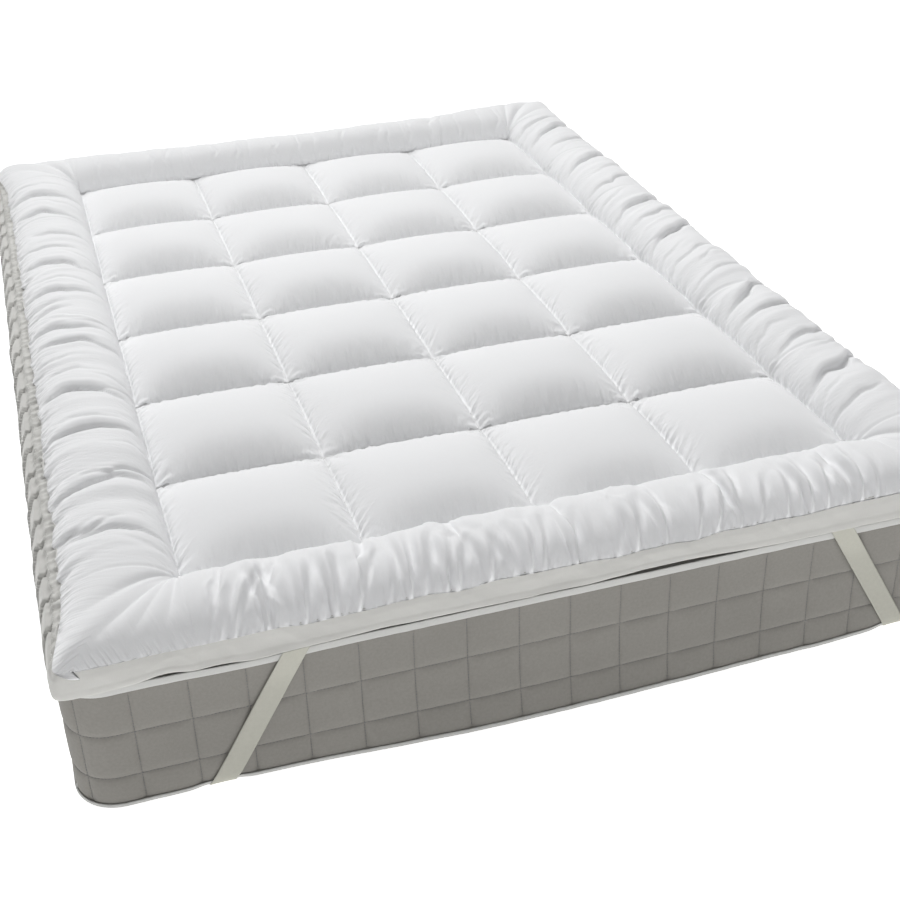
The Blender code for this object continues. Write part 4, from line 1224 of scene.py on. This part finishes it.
def wall_outline(place, inset):
    """Points round the mattress, at lengths along its wall from the front wall's left end."""
    place = np.mod(place, PERIMETER)
    x, y, angle = np.zeros_like(place), np.zeros_like(place), np.zeros_like(place)
    start = 0.0
    corner_x, corner_y = MATTRESS_WIDTH / 2 - MATTRESS_CORNER, MATTRESS_LENGTH / 2 - MATTRESS_CORNER
    for side, (run, ends) in enumerate((
        (straight_x, ((-corner_x, -corner_y), (corner_x, -corner_y))),
        (straight_y, ((corner_x, -corner_y), (corner_x, corner_y))),
        (straight_x, ((corner_x, corner_y), (-corner_x, corner_y))),
        (straight_y, ((-corner_x, corner_y), (-corner_x, -corner_y))),
    )):
        share = np.clip((place - start) / run, 0, 1)
        here = (place >= start) & (place < start + run + quarter)
        turn = np.clip((place - start - run) / quarter, 0, 1)
        x = np.where(here, ends[0][0] + (ends[1][0] - ends[0][0]) * share, x)
        y = np.where(here, ends[0][1] + (ends[1][1] - ends[0][1]) * share, y)
        angle = np.where(here, math.pi / 2 * (side - 1 + turn), angle)
        start += run + quarter
    radius = MATTRESS_CORNER - inset
    return x + radius * np.cos(angle), y + radius * np.sin(angle)


# The front wall bulges at its foot; each strap presses the bottom edge in where it passes below,
# and one strap pulls the front edge down.
FOOT_BULGE, FOOT_BULGE_POWER = 0.018, 3
STRAP_FEET = (("front_left", 0.192), ("front_right", 0.120), ("back_left", 0.180), ("back_right", 0.160))
FOOT_DENT, DENT_SPREAD, DENT_HEIGHT = 0.006, 0.035, 0.040


def pressed(x, y, z):
    """Where points on or near the mattress's wall go as it bulges and is pressed in."""
    front = smooth((-y - 0.90) / 0.03)
    shape = smooth((x + 0.46) / 0.40) * (1 - 0.5 * smooth(x / 0.45)) * (1 - smooth((x - 0.42) / 0.16))
    low_down = np.clip(1 - z / MATTRESS_HEIGHT, 0, 1) ** FOOT_BULGE_POWER
    moved_x, moved_y = x, y - FOOT_BULGE * front * shape * low_down
    low = np.clip(1 - z / DENT_HEIGHT, 0, 1) ** 2
    for corner, along in STRAP_FEET:
        east, north = (1 if "right" in corner else -1), (1 if "back" in corner else -1)
        half_width, half_length = MATTRESS_WIDTH / 2, MATTRESS_LENGTH / 2
        for foot_x, foot_y, out_x, out_y in (
            (east * (half_width - along), north * half_length, 0, north),
            (east * half_width, north * (half_length - along), east, 0),
        ):
            dent = FOOT_DENT * low * np.exp(-((np.hypot(x - foot_x, y - foot_y) / DENT_SPREAD) ** 4))
            moved_x, moved_y = moved_x - out_x * dent, moved_y - out_y * dent
    near_top = np.clip(z / MATTRESS_HEIGHT, 0, 1) ** 6
    dip = EDGE_DIP * front * np.exp(-(((x - DIP_X) / DIP_SPREAD) ** 2)) * near_top
    return moved_x, moved_y, z - dip


first_line = FIRST_WALL_LINE_X + MATTRESS_WIDTH / 2 - MATTRESS_CORNER
line_count = int(PERIMETER / WALL_SQUARE)
wall_lines = first_line + WALL_SQUARE * np.arange(-20, line_count - 20)


def clustered(ends, steps):
    """Places between each two neighbours in a row, closer together near them."""
    share = (1 - np.cos(np.pi * np.arange(steps) / steps)) / 2
    return (ends[:-1, None] + np.diff(ends)[:, None] * share).ravel()


wall_places = clustered(np.append(wall_lines, wall_lines[0] + PERIMETER), STEPS_PER_WALL_SQUARE)
heights = np.concatenate([
    [0.0, 0.0004, 0.0007, 0.0016, 0.0025, 0.0045],
    clustered(np.array([0.0070, *WALL_LINE_HEIGHTS, 0.1975]), 12),
    [0.1975, 0.2005, 0.2035, 0.2065, 0.2090, 0.2105],
])
edge_share = np.interp(heights, EDGE_HEIGHT, EDGE_INSET)
from_line = np.mod(wall_places[:, None] - wall_lines[0] + WALL_SQUARE / 2, WALL_SQUARE) - WALL_SQUARE / 2
to_line = np.abs(from_line)
joint = wall_lines[-1] + WALL_SQUARE
to_line = np.where(wall_places[:, None] > joint, np.minimum(to_line, 0.03), to_line)
to_row = np.abs(heights[None, :, None] - np.array([0.002, *WALL_LINE_HEIGHTS, 0.2075])[None, None]).min(-1)
puff = (1 - np.exp(-to_line / WALL_GROOVE_WIDTH)) * (1 - np.exp(-to_row / WALL_GROOVE_WIDTH))
wrinkle = WALL_WRINKLE * wander(wall_places[:, None] / 0.012, 401) * np.exp(-to_row / 0.010)
wrinkle += WALL_WRINKLE * wander(heights[None] / 0.010, 402) * np.exp(-to_line / 0.008)
in_wall = np.clip(np.minimum(heights - 0.003, 0.2035 - heights) / 0.006, 0, 1)[None]
off_wall = (WALL_OUT - WALL_PUFF * (1 - puff) + wrinkle) * in_wall
wall_x, wall_y = wall_outline(wall_places[:, None] + 0 * off_wall, edge_share[None] - off_wall)
mattress_points = np.stack(pressed(wall_x, wall_y, heights[None] + 0 * off_wall), -1)


TICKING_SHADE, TICKING_TAUPE = (0.247, 0.238, 0.218), (0.316, 0.304, 0.279)


def ticking_material():
    """Taupe knit: fine loops, a heathered yarn and slight clouds of shade."""
    material, tree, shader, place = new_material("mattress_ticking")
    loops = add_node(tree, "ShaderNodeTexVoronoi", {}, {"Vector": place, "Scale": 620.0}, 0)
    heather = add_node(tree, "ShaderNodeTexNoise", {}, {"Vector": place, "Scale": 240.0, "Detail": 3.0}, 0)
    cloud = add_node(tree, "ShaderNodeTexNoise", {}, {"Vector": place, "Scale": 7.0, "Detail": 2.0}, 0)
    tint = (heather - 0.5) * 0.9 + (cloud - 0.5) * 0.7 + 0.5
    colour_by(tree, shader, tint, TICKING_SHADE, TICKING_TAUPE)
    raise_by(tree, shader, loops, 0.3, 0.0004)
    shader.inputs["Roughness"].default_value = 0.92
    shader.inputs["Specular IOR Level"].default_value = 0.2
    shader.inputs["Sheen Weight"].default_value = 0.1
    return material


ticking = ticking_material()
count_i, count_j = mattress_points.shape[:2]
rim = np.arange(count_i) * count_j
mattress_cover = mesh_piece(
    "mattress_cover", mattress_points.reshape(-1, 3),
    [grid_faces(count_i, count_j, ring_i=True), rim[None, ::-1], rim[None] + count_j - 1], ticking,
)
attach(mattress_cover, "root")
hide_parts("mattress")


# The border's quilting thread, in its grooves
THREAD_OUT = 0.0006
LOWEST_STITCH, HIGHEST_STITCH = 0.010, 0.193
wall_thread_lines = []


def wall_ways(places):
    ahead, behind = (np.stack(wall_outline(places + step, 0), -1) for step in (0.001, -0.001))
    along = ahead - behind
    along /= np.linalg.norm(along, axis=-1, keepdims=True)
    return np.stack([along[:, 1], -along[:, 0], 0 * along[:, 0]], -1)


groove = WALL_PUFF - WALL_OUT - THREAD_OUT
line_heights = np.linspace(LOWEST_STITCH, HIGHEST_STITCH, 42)
for line in wall_lines:
    places = np.full_like(line_heights, line)
    x, y = wall_outline(places, groove)
    wall_thread_lines.append((np.stack(pressed(x, y, line_heights), -1), wall_ways(places)))
places = np.linspace(0, PERIMETER, 2000)
for height in WALL_LINE_HEIGHTS:
    x, y = wall_outline(places, groove)
    wall_thread_lines.append((np.stack(pressed(x, y, np.full_like(x, height)), -1), wall_ways(places)))
border_thread = thread_material("border_thread", (0.20, 0.205, 0.22))
stitched_lines("border_stitches", wall_thread_lines, border_thread)


# ---- Mattress tapes ----------------------------------------------------------------------------
# A folded woven tape binds the mattress's top edge, and a narrow one its bottom edge.
TAPE_STATIONS = 1000
TAPE_INSIDE = 0.0003
TAPE_TURNING = 0.004
TAPE_RIPPLE = 0.00025
Tape = namedtuple("Tape", "name height half proud")
TAPES = [
    Tape("mattress_top_tape", 0.2025, 0.0062, 0.0025),
    Tape("mattress_bottom_tape", 0.0054, 0.0030, 0.0024),
]

pale_tape = cloth_material("pale_tape", (0.66, 0.66, 0.64), (0.56, 0.56, 0.54), 0.85, 0.0011, 0.0005, 1.0)
for tape in TAPES:
    places = np.linspace(0, PERIMETER, TAPE_STATIONS, endpoint=False)
    turn = np.linspace(0, 2 * np.pi, 12, endpoint=False)
    flat_out = np.sign(np.cos(turn)) * np.abs(np.cos(turn)) ** 0.5
    flat_up = np.sign(np.sin(turn)) * np.abs(np.sin(turn)) ** 0.6
    middle, deep = -(TAPE_INSIDE + tape.proud) / 2, (tape.proud - TAPE_INSIDE) / 2
    ripple = TAPE_RIPPLE * wander(places / 0.02, 501 + int(1000 * tape.half))
    inset = middle - deep * flat_out[None] * (1 + 0.15 * ripple[:, None] / TAPE_RIPPLE)
    high = tape.height + tape.half * flat_up[None] + ripple[:, None]
    x, y = wall_outline(places[:, None] + 0 * inset, inset)
    ring = np.stack(pressed(x, y, high), -1)
    piece = mesh_piece(tape.name + "_woven", ring.reshape(-1, 3),
                       [grid_faces(*ring.shape[:2], ring_i=True, ring_j=True)], pale_tape)
    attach(piece, "root")
    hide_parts(tape.name)
    2 * tape.half + TAPE_TURNING


# ---- Corner straps -----------------------------------------------------------------------------
# Woven elastic, stretched from under the band's hem, down one wall, across below the mattress's
# corner and up the other wall. Its two selvedges are a little thicker.
STRAP_WIDTH, STRAP_THICKNESS = 0.032, 0.0012
STRAP_OFF_WALL = 0.0029
STRAP_TOP_Z = HEM_Z - 0.0006
Strap = namedtuple("Strap", "name east north from_corner lean")
STRAPS = [
    Strap("front_left", -1, -1, 0.312, 0.120),
    Strap("front_right", 1, -1, 0.243, 0.123),
    Strap("back_left", -1, 1, 0.294, 0.114),
    Strap("back_right", 1, 1, 0.274, 0.114),
]
STRAP_FALL = [
    (STRAP_TOP_Z, STRAP_OFF_WALL), (0.150, STRAP_OFF_WALL), (0.100, STRAP_OFF_WALL),
    (0.050, STRAP_OFF_WALL), (0.020, STRAP_OFF_WALL), (0.0092, STRAP_OFF_WALL), (0.0020, 0.0028),
]
UNDER_START, UNDER_Z = 0.010, 0.0003 + STRAP_THICKNESS
STRAP_STEPS_ACROSS = 16
SELVEDGE, SELVEDGE_PROUD = 0.0022, 0.0003


def strap_lines(strap):
    """Centres, half widths and outward ways of the strap's cross lines, from wall to wall; its own
    corner's walls are the lines a = 0 and b = 0."""
    slant = math.hypot(strap.lean, MATTRESS_HEIGHT) / MATTRESS_HEIGHT
    wall = []
    for height, off in STRAP_FALL:
        a = strap.from_corner - strap.lean * (1 - height / MATTRESS_HEIGHT)
        way = (0, -1, 0) if height > 0.005 else (0, -0.7071, -0.7071)
        wall.append(((a, -off, height), (STRAP_WIDTH * slant / 2, 0, 0), way))
    a = strap.from_corner - strap.lean
    under = []
    for k in range(13):
        share, angle = k / 12, math.radians(90 * k / 12)
        centre = (a + (UNDER_START - a) * share, UNDER_START + (a - UNDER_START) * share, UNDER_Z)
        half = (math.cos(angle) * STRAP_WIDTH / 2, math.sin(angle) * STRAP_WIDTH / 2, 0)
        under.append((centre, half, (0, 0, -1)))
    other = [tuple((v[1], v[0], v[2]) for v in line) for line in reversed(wall)]
    return np.array(wall + under + other)


ELASTIC_SHADE, ELASTIC_GREY = (0.455, 0.450, 0.395), (0.555, 0.550, 0.485)


def elastic_material():
    """Grey-green woven elastic: cords along it, crossed by fine picks."""
    material, tree, shader, place = new_material("woven_elastic")
    picks = add_node(tree, "ShaderNodeTexNoise", {}, {"Vector": place, "Scale": 700.0, "Detail": 2.0}, 0)
    cords = add_node(tree, "ShaderNodeTexNoise", {}, {"Vector": place, "Scale": 160.0, "Detail": 2.0}, 0)
    tint = picks * 0.6 + cords * 0.6 - 0.1
    colour_by(tree, shader, tint, ELASTIC_SHADE, ELASTIC_GREY)
    raise_by(tree, shader, picks, 0.3, 0.0004)
    shader.inputs["Roughness"].default_value = 0.8
    shader.inputs["Specular IOR Level"].default_value = 0.25
    return material


elastic = elastic_material()
for strap in STRAPS:
    lines = strap_lines(strap)
    across = np.linspace(-1, 1, STRAP_STEPS_ACROSS + 1)
    edge = np.exp(-(((1 - np.abs(across)) * STRAP_WIDTH / 2 / SELVEDGE) ** 2))
    thick = (STRAP_THICKNESS - SELVEDGE_PROUD * (1 - edge)) * np.clip((1.02 - np.abs(across)) / 0.04, 0.4, 1)
    centre, half, way = (lines[:, k, None, :] for k in range(3))
    inside = centre + half * across[None, :, None] + way * 0.0001
    outside = inside + way * thick[None, :, None]
    loop = np.concatenate([inside, outside[:, ::-1]], axis=1)
    loop = np.stack(pressed(
        strap.east * (MATTRESS_WIDTH / 2 - loop[..., 0]), strap.north * (MATTRESS_LENGTH / 2 - loop[..., 1]),
        loop[..., 2],
    ), -1)
    count_i, count_j = loop.shape[:2]
    faces = grid_faces(count_i, count_j, ring_j=True)
    ends = np.arange(count_j)[None]
    faces = [faces, ends[:, ::-1], ends + (count_i - 1) * count_j]
    if strap.east * strap.north < 0:
        faces = [group[:, ::-1] for group in faces]
    piece = mesh_piece("strap_" + strap.name, loop.reshape(-1, 3), faces, elastic)
    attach(piece, "root")
    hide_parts("corner_strap_" + strap.name)
